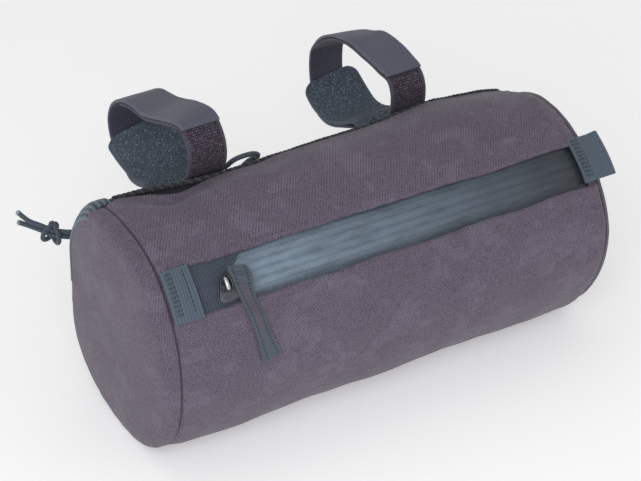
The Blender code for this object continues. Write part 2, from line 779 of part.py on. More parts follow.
def make_cord(colours, home):
    radius = CORD_DIAMETER / 2
    arch_left = LEFT_STRAP_X + FLAP_WIDTH / 2 + GAP + ARCH_ASIDE + radius
    arch_right = arch_left + ARCH_SPAN
    rest = GAP + CORD_LIFT + radius
    end = half_length()
    centre = np.array((-end, 0.0, CENTRE_HEIGHT))
    knot = [centre + BODY_RADIUS * np.array((-out, back, height)) for out, back, height in KNOT_ROWS]
    tab_x = -end + CORD_TAB_INSET
    spread = radius + GAP / 2
    strands = {
        "cord_strand_upper": (arch_left, UPPER_ROUTE_ANGLE, 1),
        "cord_strand_lower": (arch_right, LOWER_ROUTE_ANGLE, -1),
    }
    for name, (foot_x, route, way) in strands.items():
        down = np.linspace(ARCH_ANGLE, route + TURN_ANGLE, 9)
        points = [at(foot_x, a, section_radius(foot_x, a) + rest) for a in down]
        turn_x = foot_x - TURN_REACH
        corner_x = foot_x - TURN_MIDDLE
        corner_angle = route + TURN_MIDDLE_ANGLE
        points.append(at(corner_x, corner_angle, section_radius(corner_x, corner_angle) + rest))
        out = np.linspace(turn_x, tab_x - CORD_PAST_TAB, 6)
        points += [at(x, route, section_radius(x, route) + rest) for x in out]
        points += [tuple(p + np.array((0.0, 0.0, way * spread))) for p in knot[:-1]]
        points.append(tuple(knot[-1] + np.array((0.0, 0.0, way * (spread + TAIL_FAN)))))
        tube(name, smooth_curve(points, CORD_STEP), radius, colours["elastic_cord"], home)

    middle = (arch_left + arch_right) / 2
    half = ARCH_SPAN / 2
    points = []
    for across, ahead, height in ARCH_ROWS:
        angle = ARCH_ANGLE + degrees_of(GAP) + ahead * ARCH_LEAN_ANGLE
        x = middle + across * half
        points.append(at(x, angle, section_radius(x, angle) + rest + height * ARCH_HEIGHT))
    tube("cord_arch", smooth_curve(points, CORD_STEP / 2), radius, colours["elastic_cord"], home)

    over = CORD_DIAMETER + 3 * GAP + CORD_LIFT
    across = [(LOWER_ROUTE_ANGLE - past, rise) for past, rise in CORD_TAB_ROWS]
    across.append(((UPPER_ROUTE_ANGLE + LOWER_ROUTE_ANGLE) / 2, 1.0))
    across += [(UPPER_ROUTE_ANGLE + before, rise) for before, rise in reversed(CORD_TAB_ROWS)]
    rows = []
    for x in (tab_x - CORD_TAB_LENGTH / 2, tab_x + CORD_TAB_LENGTH / 2):
        row = []
        for a, rise in across:
            row.append(at(x, a, section_radius(x, a) + GAP + rise * (over - GAP) + BINDING_THICKNESS))
        rows.append(row)
    made = new_object("cord_tab", grid_mesh("cord_tab", rows), colours["panel_fabric"], home)
    thicken(made, BINDING_THICKNESS, -1.0)

    before, here, after = knot[KNOT_ROW - 1], knot[KNOT_ROW], knot[KNOT_ROW + 1]
    along = (after - before) / np.linalg.norm(after - before)
    yaw = math.atan2(along[1], along[0])
    wire = KNOT_HEIGHT * KNOT_WIRE_SHARE
    bpy.ops.mesh.primitive_torus_add(
        major_radius=KNOT_HEIGHT / 2 - wire,
        minor_radius=wire,
        major_segments=24,
        minor_segments=10,
        location=tuple(here),
    )
    made = adopt("cord_knot", colours["elastic_cord"], home)
    made.scale = (1.0, KNOT_WIDTH_SHARE, KNOT_STRETCH)
    made.rotation_euler = (0.0, math.pi / 2, yaw)
    bake(made)


def main():
    clear_scene()
    colours = make_materials()
    home = bpy.data.collections.new("handlebar_bag")
    cutters = bpy.data.collections.new("cutters")
    for c in (home, cutters):
        bpy.context.scene.collection.children.link(c)
    make_body(colours, home, cutters)
    make_end("end_panel_left", -1, colours, home)
    make_end("end_panel_right", 1, colours, home)
    make_binding("panel_binding_left", -1, colours, home)
    make_binding("panel_binding_right", 1, colours, home)
    make_edge(colours, home)
    make_pocket(colours, home)
    make_tabs(colours, home)
    make_strap(
        "left",
        LEFT_STRAP_X,
        LEFT_LOOP_ROWS,
        LEFT_FLAP_ROWS,
        LEFT_LEAN,
        LEFT_COVER_SHARE,
        colours,
        home,
    )
    make_strap(
        "right",
        RIGHT_STRAP_X,
        RIGHT_LOOP_ROWS,
        RIGHT_FLAP_ROWS,
        RIGHT_LEAN,
        RIGHT_COVER_SHARE,
        colours,
        home,
    )
    make_cord(colours, home)
    for cutter in cutters.objects:
        cutter.hide_render = True
        cutter.display_type = "WIRE"


main()
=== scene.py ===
"""The looks of a padded cloth handlebar bag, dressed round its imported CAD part."""

import math

import bmesh
import bpy
import numpy as np
from mathutils import Matrix, Vector


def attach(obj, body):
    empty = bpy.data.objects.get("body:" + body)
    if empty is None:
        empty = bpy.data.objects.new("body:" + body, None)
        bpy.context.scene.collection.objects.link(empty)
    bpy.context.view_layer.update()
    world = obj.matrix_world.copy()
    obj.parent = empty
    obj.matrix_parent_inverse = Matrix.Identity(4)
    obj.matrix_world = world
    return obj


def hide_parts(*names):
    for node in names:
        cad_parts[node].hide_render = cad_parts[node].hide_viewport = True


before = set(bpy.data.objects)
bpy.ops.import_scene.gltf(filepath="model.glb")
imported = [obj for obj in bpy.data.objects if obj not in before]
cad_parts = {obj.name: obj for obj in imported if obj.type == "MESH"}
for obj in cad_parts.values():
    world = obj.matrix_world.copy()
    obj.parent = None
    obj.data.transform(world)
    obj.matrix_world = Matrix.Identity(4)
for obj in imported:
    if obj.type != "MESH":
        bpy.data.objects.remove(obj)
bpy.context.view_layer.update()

# Sizes in metres and angles in degrees, as in the part's source
LENGTH = 0.235
HALF = LENGTH / 2
R = 0.060
CZ = 0.056
BACK = 0.0545
WALL = 0.002
GAP = 0.0003
BULGE = 0.0052
BULGE_POWER = 2.3
CORNER = 14
REAR = -88.0
FACET = -38.0
SLIT_TOP = 36.0
SLIT_BOTTOM = 57.5
SEAM_SHARE = 0.46
ZIP_SEAM = SLIT_TOP + SEAM_SHARE * (SLIT_BOTTOM - SLIT_TOP)
TAB_MIDDLE = 47.0
WEB = 0.0245
BEAD = 0.00115
# How softly the cloth meets the ground, steps between a spline's points, points across a strap,
# a stitch's height and its share of the pitch, and the picture's width in pixels
GROUND_BLEND = 0.0016
SPLINE_STEPS = 14
STRIP_POINTS = 15
STITCH_LIFT = 0.00022
STITCH_SHARE = 0.68
PHOTO_WIDTH = 641

# Columns: share of the half length, share of the radius, flat behind the panel edge, panel edge angle
BODY_ROWS = np.array(
    [
        (-1.00, 0.958, 0.950, -19.0), (-0.94, 0.985, 0.952, -20.0), (-0.80, 1.000, 0.955, -20.0),
        (-0.55, 1.000, 0.957, -16.0), (-0.11, 1.000, 0.965, -21.0), (0.30, 1.000, 0.980, -27.0),
        (0.52, 1.000, 0.985, -30.0), (0.86, 1.000, 0.985, -31.0), (0.95, 0.988, 0.975, -32.5),
        (1.00, 0.962, 0.955, -33.5),
    ]
)

# Columns: share of the half length, angle, depth share, reach along, reach round
END_LOBES = [
    (-1.00, 30.0, -0.045, 0.10, 20.0), (-1.00, 92.0, 0.050, 0.12, 30.0), (-0.97, -75.0, 0.030, 0.10, 20.0),
    (1.00, 32.0, 0.025, 0.09, 16.0), (1.00, 82.0, -0.030, 0.10, 22.0),
]
# The fuller stuffing of the ends and the upper back, with the same columns
FILL = [
    (-1.02, -30.0, -0.098, 0.30, 26.0), (-0.55, -34.0, -0.020, 0.30, 22.0), (-0.05, -34.0, -0.026, 0.35, 22.0),
    (0.58, -34.0, -0.058, 0.26, 20.0), (1.00, 6.0, 0.026, 0.12, 24.0), (0.95, 150.0, -0.030, 0.30, 24.0),
    (-1.00, -132.0, -0.068, 0.16, 28.0), (-0.98, 150.0, -0.032, 0.16, 22.0),
]
# The dips in the wrap alone, with the same columns
WRAP_DIPS = [
    (-0.74, -11.0, 0.112, 0.15, 10.0), (-0.32, -10.0, 0.018, 0.10, 12.0), (0.10, -12.0, 0.012, 0.20, 12.0),
    (-0.75, 24.0, -0.014, 0.14, 9.0), (-0.20, 27.0, -0.016, 0.30, 8.0), (0.45, 26.0, -0.016, 0.30, 8.0),
    (-0.55, 68.0, -0.018, 0.28, 9.0), (0.20, 67.0, -0.014, 0.35, 8.0), (-0.90, 120.0, 0.020, 0.14, 22.0),
    (0.88, 118.0, 0.016, 0.12, 20.0), (-0.30, 100.0, 0.008, 0.22, 26.0),
]

# Columns: x and angle of a crease's two ends, its depth (negative stands proud) and its width
CREASES = [
    (-0.112, 22, -0.100, -6, -0.0012, 0.0040), (-0.108, 31, -0.070, 33, -0.0009, 0.0036),
    (-0.086, -2, -0.074, 20, 0.0010, 0.0045), (-0.078, -6, -0.064, 8, -0.0010, 0.0050),
    (-0.060, 3, -0.048, 17, 0.0007, 0.0050), (-0.050, -6, -0.030, 6, -0.0006, 0.0050),
    (-0.100, 62, -0.070, 66, -0.0008, 0.0038), (-0.066, 64, -0.030, 70, 0.0005, 0.0050),
    (-0.112, 66, -0.100, 96, 0.0008, 0.0045), (-0.114, 80, -0.092, 84, -0.0006, 0.0040),
    (0.112, 66, 0.094, 86, 0.0008, 0.0048), (0.114, 78, 0.098, 70, -0.0006, 0.0045),
    (0.113, 26, 0.096, 14, 0.0007, 0.0050), (0.080, 62, 0.108, 60, -0.0006, 0.0040),
    (0.000, 100, 0.060, 104, 0.0004, 0.0100), (-0.070, 110, -0.010, 116, 0.0004, 0.0110),
]


# ---- shapes of the bag's surface ----
def bumps(table, x, a):
    """The sum of a table's dips at a place, in metres."""
    total = 0.0
    for share, centre, depth, along, round_ in table:
        across = (a - centre + 180.0) % 360.0 - 180.0
        total = total + depth * np.exp(-(((x / HALF - share) / along) ** 2) - (across / round_) ** 2)
    return total * R


def column(x, k):
    return np.interp(np.asarray(x, float) / HALF, BODY_ROWS[:, 0], BODY_ROWS[:, k])


def edge_angle(x):
    return column(x, 3)


def section_radius(x, a):
    """The padded body's radius, without the wrap's own dips."""
    x, a = np.broadcast_arrays(np.asarray(x, float), np.asarray(a, float))
    turn = np.radians(a)
    full = R * column(x, 1)
    facing = np.clip(np.cos(turn - math.radians(FACET)), 0, None) / (full * column(x, 2))
    rear = np.clip(-np.sin(turn), 0, None) / (BACK * column(x, 1))
    blend = (1 / full) ** CORNER + facing**CORNER + rear**CORNER
    return blend ** (-1 / CORNER) - bumps(END_LOBES, x, a) - bumps(FILL, x, a)


def wrap_radius(x, a):
    return section_radius(x, a) - bumps(WRAP_DIPS, x, a)


def at(x, a, r):
    """The point at this x, angle and radius, kept above the ground."""
    x, a, r = np.broadcast_arrays(np.asarray(x, float), np.asarray(a, float), np.asarray(r, float))
    turn = np.radians(a)
    z = CZ + r * np.cos(turn)
    z = 0.5 * (z + np.sqrt(z * z + GROUND_BLEND**2))
    return np.stack([x, -r * np.sin(turn), z], -1)


def degrees_of(arc):
    return math.degrees(arc / R)


def arc_between(a, b):
    return np.abs(a - b) * math.radians(1) * R


def flat(x, a):
    """A place on the wrap laid out flat: along the bag, and round it."""
    return np.stack(np.broadcast_arrays(x, np.radians(a) * R), -1)


def grid(x, a):
    return np.meshgrid(x, a, indexing="ij")


def waves(p, length, seed, count=14):
    """Smooth noise from -1 to 1: a sum of waves about this long, in seeded directions."""
    rng = np.random.default_rng(seed)
    p = np.asarray(p, float)
    total = np.zeros(p.shape[:-1])
    for _ in range(count):
        d = rng.normal(size=p.shape[-1])
        d /= np.linalg.norm(d)
        total += np.sin(2 * np.pi * (p @ d) / (length * rng.uniform(0.7, 1.5)) + rng.uniform(0, 2 * np.pi))
    return total / math.sqrt(count) * 0.8


def wander(x, length, seed, count):
    return waves(np.stack([x, 0 * x], -1), length, seed, count)


def creases(x, a):
    """How far the fabric dips at a point, from the table of creases."""
    p = flat(x, a)
    total = np.zeros(p.shape[:-1])
    for x0, a0, x1, a1, depth, width in CREASES:
        s = flat(x0, a0)
        d = flat(x1, a1) - s
        t = np.clip(((p - s) @ d) / (d @ d), 0, 1)
        off = np.linalg.norm(p - s - t[..., None] * d, axis=-1)
        fade = np.sin(np.pi * np.clip(0.12 + 0.76 * t, 0, 1)) ** 0.7
        total += depth * fade * np.exp(-((off / width) ** 2))
    return total


def fabric_radius(x, a):
    """The wrap's outer surface with its folds, puckers and slack."""
    x, a = np.broadcast_arrays(np.asarray(x, float), np.asarray(a, float))
    p = flat(x, a)
    r = wrap_radius(x, a) - creases(x, a)
    r = r + 0.00055 * waves(p, 0.055, 3) + 0.00022 * waves(p, 0.022, 4)
    from_end = HALF - np.abs(x)
    pucker = np.exp(-((np.clip(from_end, 0, None) / 0.009) ** 1.3))
    side = np.where(x < 0, 1.0, 1.7)
    ripple = waves(np.stack([p[..., 1], side * 0.05 + from_end * 0.35], -1), 0.0085, 5)
    r = r + 0.00014 * pucker * ripple
    roll = np.clip(1 - from_end / 0.0030, 0, 1)
    return r - 0.0013 * roll**2.2


# ---- meshes ----
def add(name, data):
    """A new object in the scene."""
    made = bpy.data.objects.new(name, data)
    bpy.context.scene.collection.objects.link(made)
    return made


def mesh_object(name, verts, faces, uv):
    mesh = bpy.data.meshes.new(name)
    mesh.from_pydata(np.asarray(verts, float).reshape(-1, 3).tolist(), [], faces)
    layer = mesh.uv_layers.new(name="UVMap")
    uv = np.asarray(uv, float).reshape(-1, 2)
    index = np.zeros(len(mesh.loops), np.int32)
    mesh.loops.foreach_get("vertex_index", index)
    layer.data.foreach_set("uv", uv[index].astype(np.float32).ravel())
    mesh.update()
    mesh.polygons.foreach_set("use_smooth", [True] * len(mesh.polygons))
    return add(name, mesh)


def grid_faces(n, m, flip=False, wrap=False):
    i, j = grid(np.arange(n - 1), np.arange(m if wrap else m - 1))
    k = (j + 1) % m
    quads = np.stack([i * m + j, i * m + k, (i + 1) * m + k, (i + 1) * m + j], -1).reshape(-1, 4)
    return (quads[:, ::-1] if flip else quads).tolist()


def run_along(line):
    """Distance along a line, at each of its points."""
    return np.concatenate([[0.0], np.cumsum(np.linalg.norm(np.diff(line, axis=0), axis=1))])


def read_at(wanted, run, points):
    """The points that lie at these distances along a line."""
    return np.stack([np.interp(wanted, run, points[:, k]) for k in range(points.shape[1])], -1)


def run_of(points, axis):
    """Distance along a grid's axis, at its middle line."""
    points = np.moveaxis(points, axis, 0)
    return run_along(points[:, points.shape[1] // 2])


def grid_uv(points):
    u = run_of(points, 0)
    v = run_of(points, 1)
    v = v - v[-1] / 2
    return np.stack(grid(u, v), -1)


def cloth(name, points, thickness, look, offset=-1.0, bevel=0.3, uv=None, flip=False, inside=None):
    """A sheet of this thickness from a grid of points, with softened edges."""
    n, m = points.shape[:2]
    made = mesh_object(name, points, grid_faces(n, m, flip), grid_uv(points) if uv is None else uv)
    made.data.materials.append(LOOK[look])
    wall = made.modifiers.new("Wall", "SOLIDIFY")
    wall.thickness = thickness
    wall.offset = offset
    wall.use_even_offset = True
    if inside:
        made.data.materials.append(LOOK[inside])
        wall.material_offset = 1
    soft = made.modifiers.new("Soft", "BEVEL")
    soft.width = thickness * bevel
    soft.segments = 2
    soft.limit_method = "ANGLE"
    soft.angle_limit = math.radians(50)
    return made


def smooth_line(points, step):
    """A spline through the points, read at even steps."""
    points = np.asarray(points, float)
    ends = np.vstack([2 * points[0] - points[1], points, 2 * points[-1] - points[-2]])
    t = np.linspace(0, 1, SPLINE_STEPS, endpoint=False)[:, None]
    fine = []
    for i in range(1, len(ends) - 2):
        a, b, c, d = ends[i - 1], ends[i], ends[i + 1], ends[i + 2]
        cubic = 3 * b - a - 3 * c + d
        fine.append(0.5 * (2 * b + (c - a) * t + (2 * a - 5 * b + 4 * c - d) * t**2 + cubic * t**3))
    fine = np.vstack(fine + [points[-1:]])
    run = run_along(fine)
    count = max(3, int(round(run[-1] / step)) + 1)
    return read_at(np.linspace(0, run[-1], count), run, fine)


def frames_along(line):
    """Two sideways directions at each point, turning as little as they can."""
    t = np.gradient(line, axis=0)
    t /= np.linalg.norm(t, axis=1)[:, None]
    side = np.cross(t[0], (0.3, 0.2, 0.93))
    side /= np.linalg.norm(side)
    sides = []
    for d in t:
        side = side - d * (side @ d)
        side /= np.linalg.norm(side)
        sides.append(side.copy())
    sides = np.array(sides)
    return sides, np.cross(t, sides)


def tube_mesh(line, radius, around=12):
    """Points and faces of a capped tube, with a UV of run and turn."""
    s, b = frames_along(line)
    turn = np.linspace(0, 2 * np.pi, around, endpoint=False)
    radii = np.broadcast_to(radius, len(line))
    ring = s[:, None] * np.cos(turn)[None, :, None] + b[:, None] * np.sin(turn)[None, :, None]
    points = line[:, None] + ring * radii[:, None, None]
    n = len(line)
    faces = grid_faces(n, around, True, True)
    faces += [list(range(around)), list(range((n - 1) * around, n * around))[::-1]]
    run = run_along(line)
    uv = np.stack(grid(run, turn / (2 * np.pi)), -1)
    return points.reshape(-1, 3), faces, uv.reshape(-1, 2)


def joined(name, parts, look):
    """One piece from several parts, each its points, faces and UV."""
    verts, faces, uvs, start = [], [], [], 0
    for v, f, uv in parts:
        verts.append(v)
        uvs.append(uv)
        faces += [[i + start for i in face] for face in f]
        start += len(v)
    made = mesh_object(name, np.vstack(verts), faces, np.vstack(uvs))
    made.data.materials.append(LOOK[look])
    return made


def stitch(start, end, normal, size):
    """One stitch: a small rounded dash of thread that dips into the cloth at both ends."""
    share = np.linspace(0, 1, 6)
    rise = np.sin(np.pi * share)[:, None]
    line = start + share[:, None] * (end - start) + normal * (rise * STITCH_LIFT - 0.3 * size)
    radii = size * (0.55 + 0.45 * np.sin(np.pi * share))
    return tube_mesh(line, radii, 6)


def stitches(line, normals, pitch, size):
    """A row of stitches along a line."""
    run = run_along(line)
    made = []
    for i in range(int(run[-1] / pitch)):
        a = i * pitch + pitch * (1 - STITCH_SHARE) / 2
        b = a + pitch * STITCH_SHARE
        n = read_at((a + b) / 2, run, normals)
        made.append(stitch(read_at(a, run, line), read_at(b, run, line), n / np.linalg.norm(n), size))
    return made


def sewn_rows(name, points, normals, rows, pitch, size, trim=1):
    """Stitches across a grid of points, along the rows asked for."""
    parts = []
    for k in rows:
        parts += stitches(points[k, trim:-trim], normals[k, trim:-trim], pitch, size)
    return joined(name, parts, "thread")


def normals_of(points, flip=False):
    a = np.gradient(points, axis=0)
    b = np.gradient(points, axis=1)
    n = np.cross(a, b)
    n /= np.linalg.norm(n, axis=-1)[..., None] + 1e-12
    return -n if flip else n


def keep(piece, replaced=()):
    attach(piece, "root")
    if replaced:
        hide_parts(*replaced)
    return piece


# ---- materials ----
class Paint:
    """Builds a Principled material from nodes."""

    def __init__(self, name):
        self.material = bpy.data.materials.new(name)
        self.material.use_nodes = True
        self.tree = self.material.node_tree
        self.shader = self.tree.nodes["Principled BSDF"]

    def node(self, kind, settings=None, **inputs):
        made = self.tree.nodes.new(kind)
        for key, value in (settings or {}).items():
            setattr(made, key, value)
        for key, value in inputs.items():
            self.plug(made.inputs[key], value)
        return made

    def plug(self, socket, value):
        if isinstance(value, bpy.types.NodeSocket):
            self.tree.links.new(value, socket)
        else:
            socket.default_value = value

    def math(self, operation, *values):
        made = self.node("ShaderNodeMath", {"operation": operation})
        for k, value in enumerate(values):
            self.plug(made.inputs[k], value)
        return made.outputs[0]

    def times(self, a, b):
        return self.math("MULTIPLY", a, b)

    def plus(self, a, b):
        return self.math("ADD", a, b)

    def size(self, value):
        return self.math("ABSOLUTE", value)

    def place(self):
        return self.node("ShaderNodeTexCoord").outputs["Object"]

    def vector(self, operation, value, by):
        made = self.node("ShaderNodeVectorMath", {"operation": operation})
        self.plug(made.inputs[0], value)
        made.inputs[1].default_value = by
        return made.outputs[0]

    def noise(self, vector, scale, detail, rough):
        made = self.node("ShaderNodeTexNoise", Scale=scale, Detail=detail, Roughness=rough)
        self.plug(made.inputs["Vector"], vector)
        return made.outputs["Fac"]

    def grain(self, uv, along, across, detail, rough):
        return self.noise(self.vector("MULTIPLY", uv, (along, across, 1.0)), 1.0, detail, rough)

    def ramp(self, value, low, high, to_low=0.0, to_high=1.0, smooth=True):
        made = self.node("ShaderNodeMapRange", {"interpolation_type": "SMOOTHSTEP" if smooth else "LINEAR"})
        for k, v in zip(range(5), (value, low, high, to_low, to_high)):
            self.plug(made.inputs[k], v)
        return made.outputs[0]

    def band(self, value, low, high, top, end):
        """1 between two edges, 0 outside them."""
        return self.times(self.ramp(value, low, high), self.ramp(value, end, top))

    def mix(self, factor, a, b):
        made = self.node("ShaderNodeMix", {"data_type": "RGBA"})
        self.plug(made.inputs["Factor"], factor)
        for socket, value in ((made.inputs[6], a), (made.inputs[7], b)):
            self.plug(socket, (*value, 1.0) if isinstance(value, tuple) else value)
        return made.outputs[2]

    def split(self, vector):
        made = self.node("ShaderNodeSeparateXYZ")
        self.plug(made.inputs[0], vector)
        return made.outputs

    def wave(self, value, period):
        """A sine from 0 to 1 with this period."""
        return self.math("MULTIPLY_ADD", self.math("SINE", self.times(value, 2 * math.pi / period)), 0.5, 0.5)

    def bump(self, height, distance, strength, normal=None):
        made = self.node("ShaderNodeBump", Strength=strength, Distance=distance)
        self.plug(made.inputs["Height"], height)
        if normal is not None:
            self.plug(made.inputs["Normal"], normal)
        return made.outputs[0]

    def done(self, colour, rough, normal=None, metallic=0.0, specular=0.5, sheen=0.0):
        self.plug(self.shader.inputs["Base Color"], colour)
        self.plug(self.shader.inputs["Roughness"], rough)
        if normal is not None:
            self.plug(self.shader.inputs["Normal"], normal)
        self.shader.inputs["Metallic"].default_value = metallic
        self.shader.inputs["Specular IOR Level"].default_value = specular
        self.shader.inputs["Sheen Weight"].default_value = sheen
        self.shader.inputs["Sheen Roughness"].default_value = 0.45
        return self.material


def uv_paint(name):
    """A new material, its UV and the UV's two parts."""
    p = Paint(name)
    uv = p.node("ShaderNodeUVMap", {"uv_map": "UVMap"}).outputs[0]
    u, v, _ = p.split(uv)
    return p, uv, u, v


def dim(colour, k):
    return tuple(c * k for c in colour)


FABRIC = (0.104, 0.081, 0.118)
FABRIC_LIGHT = (0.150, 0.127, 0.172)
CAMO_SQUARE = 0.0034
TWILL = 0.00155
WEAVE = 0.00056


def fabric_paint(name):
    p, uv, u, v = uv_paint(name)
    squares = p.vector("SNAP", uv, (CAMO_SQUARE, CAMO_SQUARE, 1.0))
    squares = p.vector("ADD", squares, (0.413, 0.287, 0.0))
    large = p.noise(squares, 50.0, 2.0, 0.55)
    small = p.noise(squares, 150.0, 1.0, 0.5)
    field = p.math("MULTIPLY_ADD", small, 0.28, large)
    camo = p.ramp(field, 0.690, 0.696)
    darker = p.ramp(field, 0.575, 0.568)
    fuzz = p.grain(uv, 1500.0, 1500.0, 2.0, 0.65)
    slub = p.grain(uv, 1250.0, 330.0, 1.0, 0.5)
    strength = p.noise(uv, 210.0, 2.0, 0.5)
    slant = p.times(v, p.ramp(v, 0.040, 0.060, 0.60, -0.74))
    twill = p.ramp(p.wave(p.plus(u, slant), TWILL), 0.25, 0.80)
    weave = p.times(p.wave(u, WEAVE), p.wave(v, WEAVE))
    soft = p.noise(p.place(), 30.0, 3.0, 0.55)
    colour = p.mix(p.times(camo, 0.75), FABRIC, FABRIC_LIGHT)
    colour = p.mix(p.times(darker, 0.05), colour, dim(FABRIC, 0.62))
    colour = p.mix(p.times(twill, p.ramp(strength, 0.30, 0.70, 0.40, 0.95)), colour, dim(FABRIC, 0.42))
    colour = p.mix(p.ramp(fuzz, 0.35, 0.70, 0.0, 0.58), colour, dim(FABRIC_LIGHT, 1.6))
    colour = p.mix(p.ramp(slub, 0.38, 0.68, 0.0, 0.16), colour, dim(FABRIC_LIGHT, 1.6))
    colour = p.mix(p.ramp(slub, 0.52, 0.30, 0.0, 0.16), colour, dim(FABRIC, 0.50))
    colour = p.mix(p.ramp(soft, 0.35, 0.65, 0.12, 0.0), colour, dim(FABRIC, 0.65))
    # painted shadow: a thin darker band along the crevice where the wrap meets each end cloth
    across = p.size(p.split(p.place())[0])
    seam = p.band(across, HALF - 0.0008, HALF - 0.0001, HALF + 0.0003, HALF + 0.0010)
    colour = p.mix(p.times(seam, 0.75), colour, dim(FABRIC, 0.18))
    height = p.plus(p.times(weave, 0.4), p.plus(p.times(fuzz, 0.8), p.times(twill, -0.5)))
    normal = p.bump(height, 0.00018, 0.5, p.bump(soft, 0.0016, 0.30))
    return p.done(colour, p.ramp(fuzz, 0.3, 0.7, 0.80, 0.66), normal, specular=0.30, sheen=0.12)


def panel_paint():
    p, uv, u, v = uv_paint("panel_fabric_look")
    mesh = p.times(p.wave(u, 0.0016), p.wave(v, 0.0016))
    threads = p.grain(uv, 1500.0, 300.0, 2.0, 0.6)
    colour = p.mix(mesh, (0.010, 0.010, 0.012), (0.030, 0.031, 0.036))
    height = p.plus(mesh, p.times(threads, 0.6))
    return p.done(colour, 0.82, p.bump(height, 0.00035, 0.6), specular=0.3, sheen=0.15)


def zip_paint(name):
    """Coated zip tape: V is the distance from the seam; two ridged bands run beside it."""
    p, uv, u, v = uv_paint(name)
    near = p.band(v, 0.0009, 0.0013, 0.0033, 0.0037)
    far = p.band(v, 0.0047, 0.0051, 0.0073, 0.0077)
    groove = p.band(v, 0.0036, 0.0039, 0.0042, 0.0045)
    line = p.band(v, 0.0077, 0.0079, 0.0081, 0.0084)
    seam = p.ramp(v, 0.00045, 0.00015)
    ridge = p.wave(u, 0.00125)
    ridges = p.times(ridge, p.math("MULTIPLY_ADD", near, 0.45, far))
    grain = p.grain(uv, 500.0, 500.0, 3.0, 0.6)
    slow = p.noise(uv, 45.0, 2.0, 0.5)
    low, high = (0.175, 0.238, 0.312), (0.300, 0.385, 0.475)
    colour = p.mix(p.times(ridges, 0.55), low, high)
    colour = p.mix(p.times(near, 0.14), colour, high)
    # painted shade: the colour darkens in the groove between the ridged bands and where the two tapes meet at the
    # seam
    dark = p.math("MAXIMUM", p.times(groove, 0.18), p.math("MAXIMUM", p.times(line, 0.45), seam))
    colour = p.mix(p.times(dark, 0.50), colour, (0.030, 0.042, 0.056))
    # painted shadow under the slit's lips: the tape darkens towards its outer edge
    colour = p.mix(p.ramp(v, 0.0078, 0.0115, 0.0, 0.60), colour, (0.018, 0.024, 0.032))
    colour = p.mix(p.ramp(grain, 0.4, 0.7, 0.0, 0.14), colour, dim(high, 1.1))
    # painted shade: the tape darkens towards its right end
    shade_to_right = p.ramp(u, -0.070, 0.105, 0.0, 0.94, False)
    colour = p.mix(shade_to_right, colour, (0.022, 0.026, 0.034))
    height = p.math("MULTIPLY_ADD", ridges, 0.7, p.times(p.plus(near, far), 0.12))
    height = p.math("MULTIPLY_ADD", slow, 1.0, height)
    # slow wrinkles: they bump the tape, and their darker patches are painted shade
    wrinkles_and_shade = p.grain(uv, 60.0, 190.0, 2.0, 0.5)
    colour = p.mix(p.ramp(wrinkles_and_shade, 0.42, 0.72, 0.0, 0.30), colour, (0.020, 0.026, 0.034))
    height = p.math("MULTIPLY_ADD", wrinkles_and_shade, 1.6, height)
    rough = p.ramp(ridges, 0.0, 1.0, 0.33, 0.46)
    return p.done(colour, rough, p.bump(height, 0.00034, 0.8), specular=0.5, sheen=0.03)


def webbing_paint(name, base, rib=0.0017, across=True, mid=None, depth=1.0, chevron=0.42):
    p, uv, u, v = uv_paint(name)
    a, b = (v, u) if across else (u, v)
    ribs = p.wave(a, rib)
    cross = p.wave(b, 0.00058)
    zig = p.wave(p.plus(b, p.times(p.math("PINGPONG", a, rib / 2), 0.8)), 0.0008)
    fuzz = p.grain(uv, 2600.0, 2600.0, 2.0, 0.6)
    colour = p.mix(ribs, dim(base, 1 - 0.48 * depth), dim(base, 1 + 0.35 * depth))
    colour = p.mix(p.times(zig, chevron), colour, dim(base, 0.45))
    colour = p.mix(p.ramp(fuzz, 0.45, 0.75, 0.0, 0.30), colour, dim(base, 1.9))
    if mid is not None:
        inside = p.times(p.ramp(p.size(v), 0.0017, 0.0008), p.band(u, 0.009, 0.013, 0.033, 0.040))
        colour = p.mix(p.times(inside, 0.60), colour, mid)
        beside = p.size(p.math("SUBTRACT", p.size(v), 0.0023))
        ladder = p.times(p.ramp(beside, 0.0006, 0.0002), p.ramp(p.wave(u, 0.0015), 0.35, 0.65))
        colour = p.mix(p.times(ladder, 0.80), colour, dim(base, 0.16))
    height = p.plus(p.times(ribs, depth), p.times(p.times(zig, cross), 0.5))
    return p.done(colour, 0.72, p.bump(height, 0.00035, 0.75), specular=0.35, sheen=0.2)


def strap_paint(name, base):
    p, uv, u, v = uv_paint(name)
    fine = p.grain(uv, 1500.0, 1500.0, 3.0, 0.7)
    weave = p.times(p.wave(u, 0.0009), p.wave(v, 0.0009))
    slow = p.noise(uv, 60.0, 2.0, 0.5)
    colour = p.mix(p.ramp(fine, 0.32, 0.68), dim(base, 0.66), dim(base, 1.30))
    colour = p.mix(p.ramp(slow, 0.35, 0.65, 0.18, 0.0), colour, dim(base, 0.6))
    edge = p.ramp(p.size(v), 0.0088, 0.0096)
    colour = p.mix(p.times(edge, 0.30), colour, dim(base, 1.7))
    height = p.plus(fine, p.times(weave, 0.5))
    return p.done(colour, 0.70, p.bump(height, 0.00020, 0.6), specular=0.30, sheen=0.12)


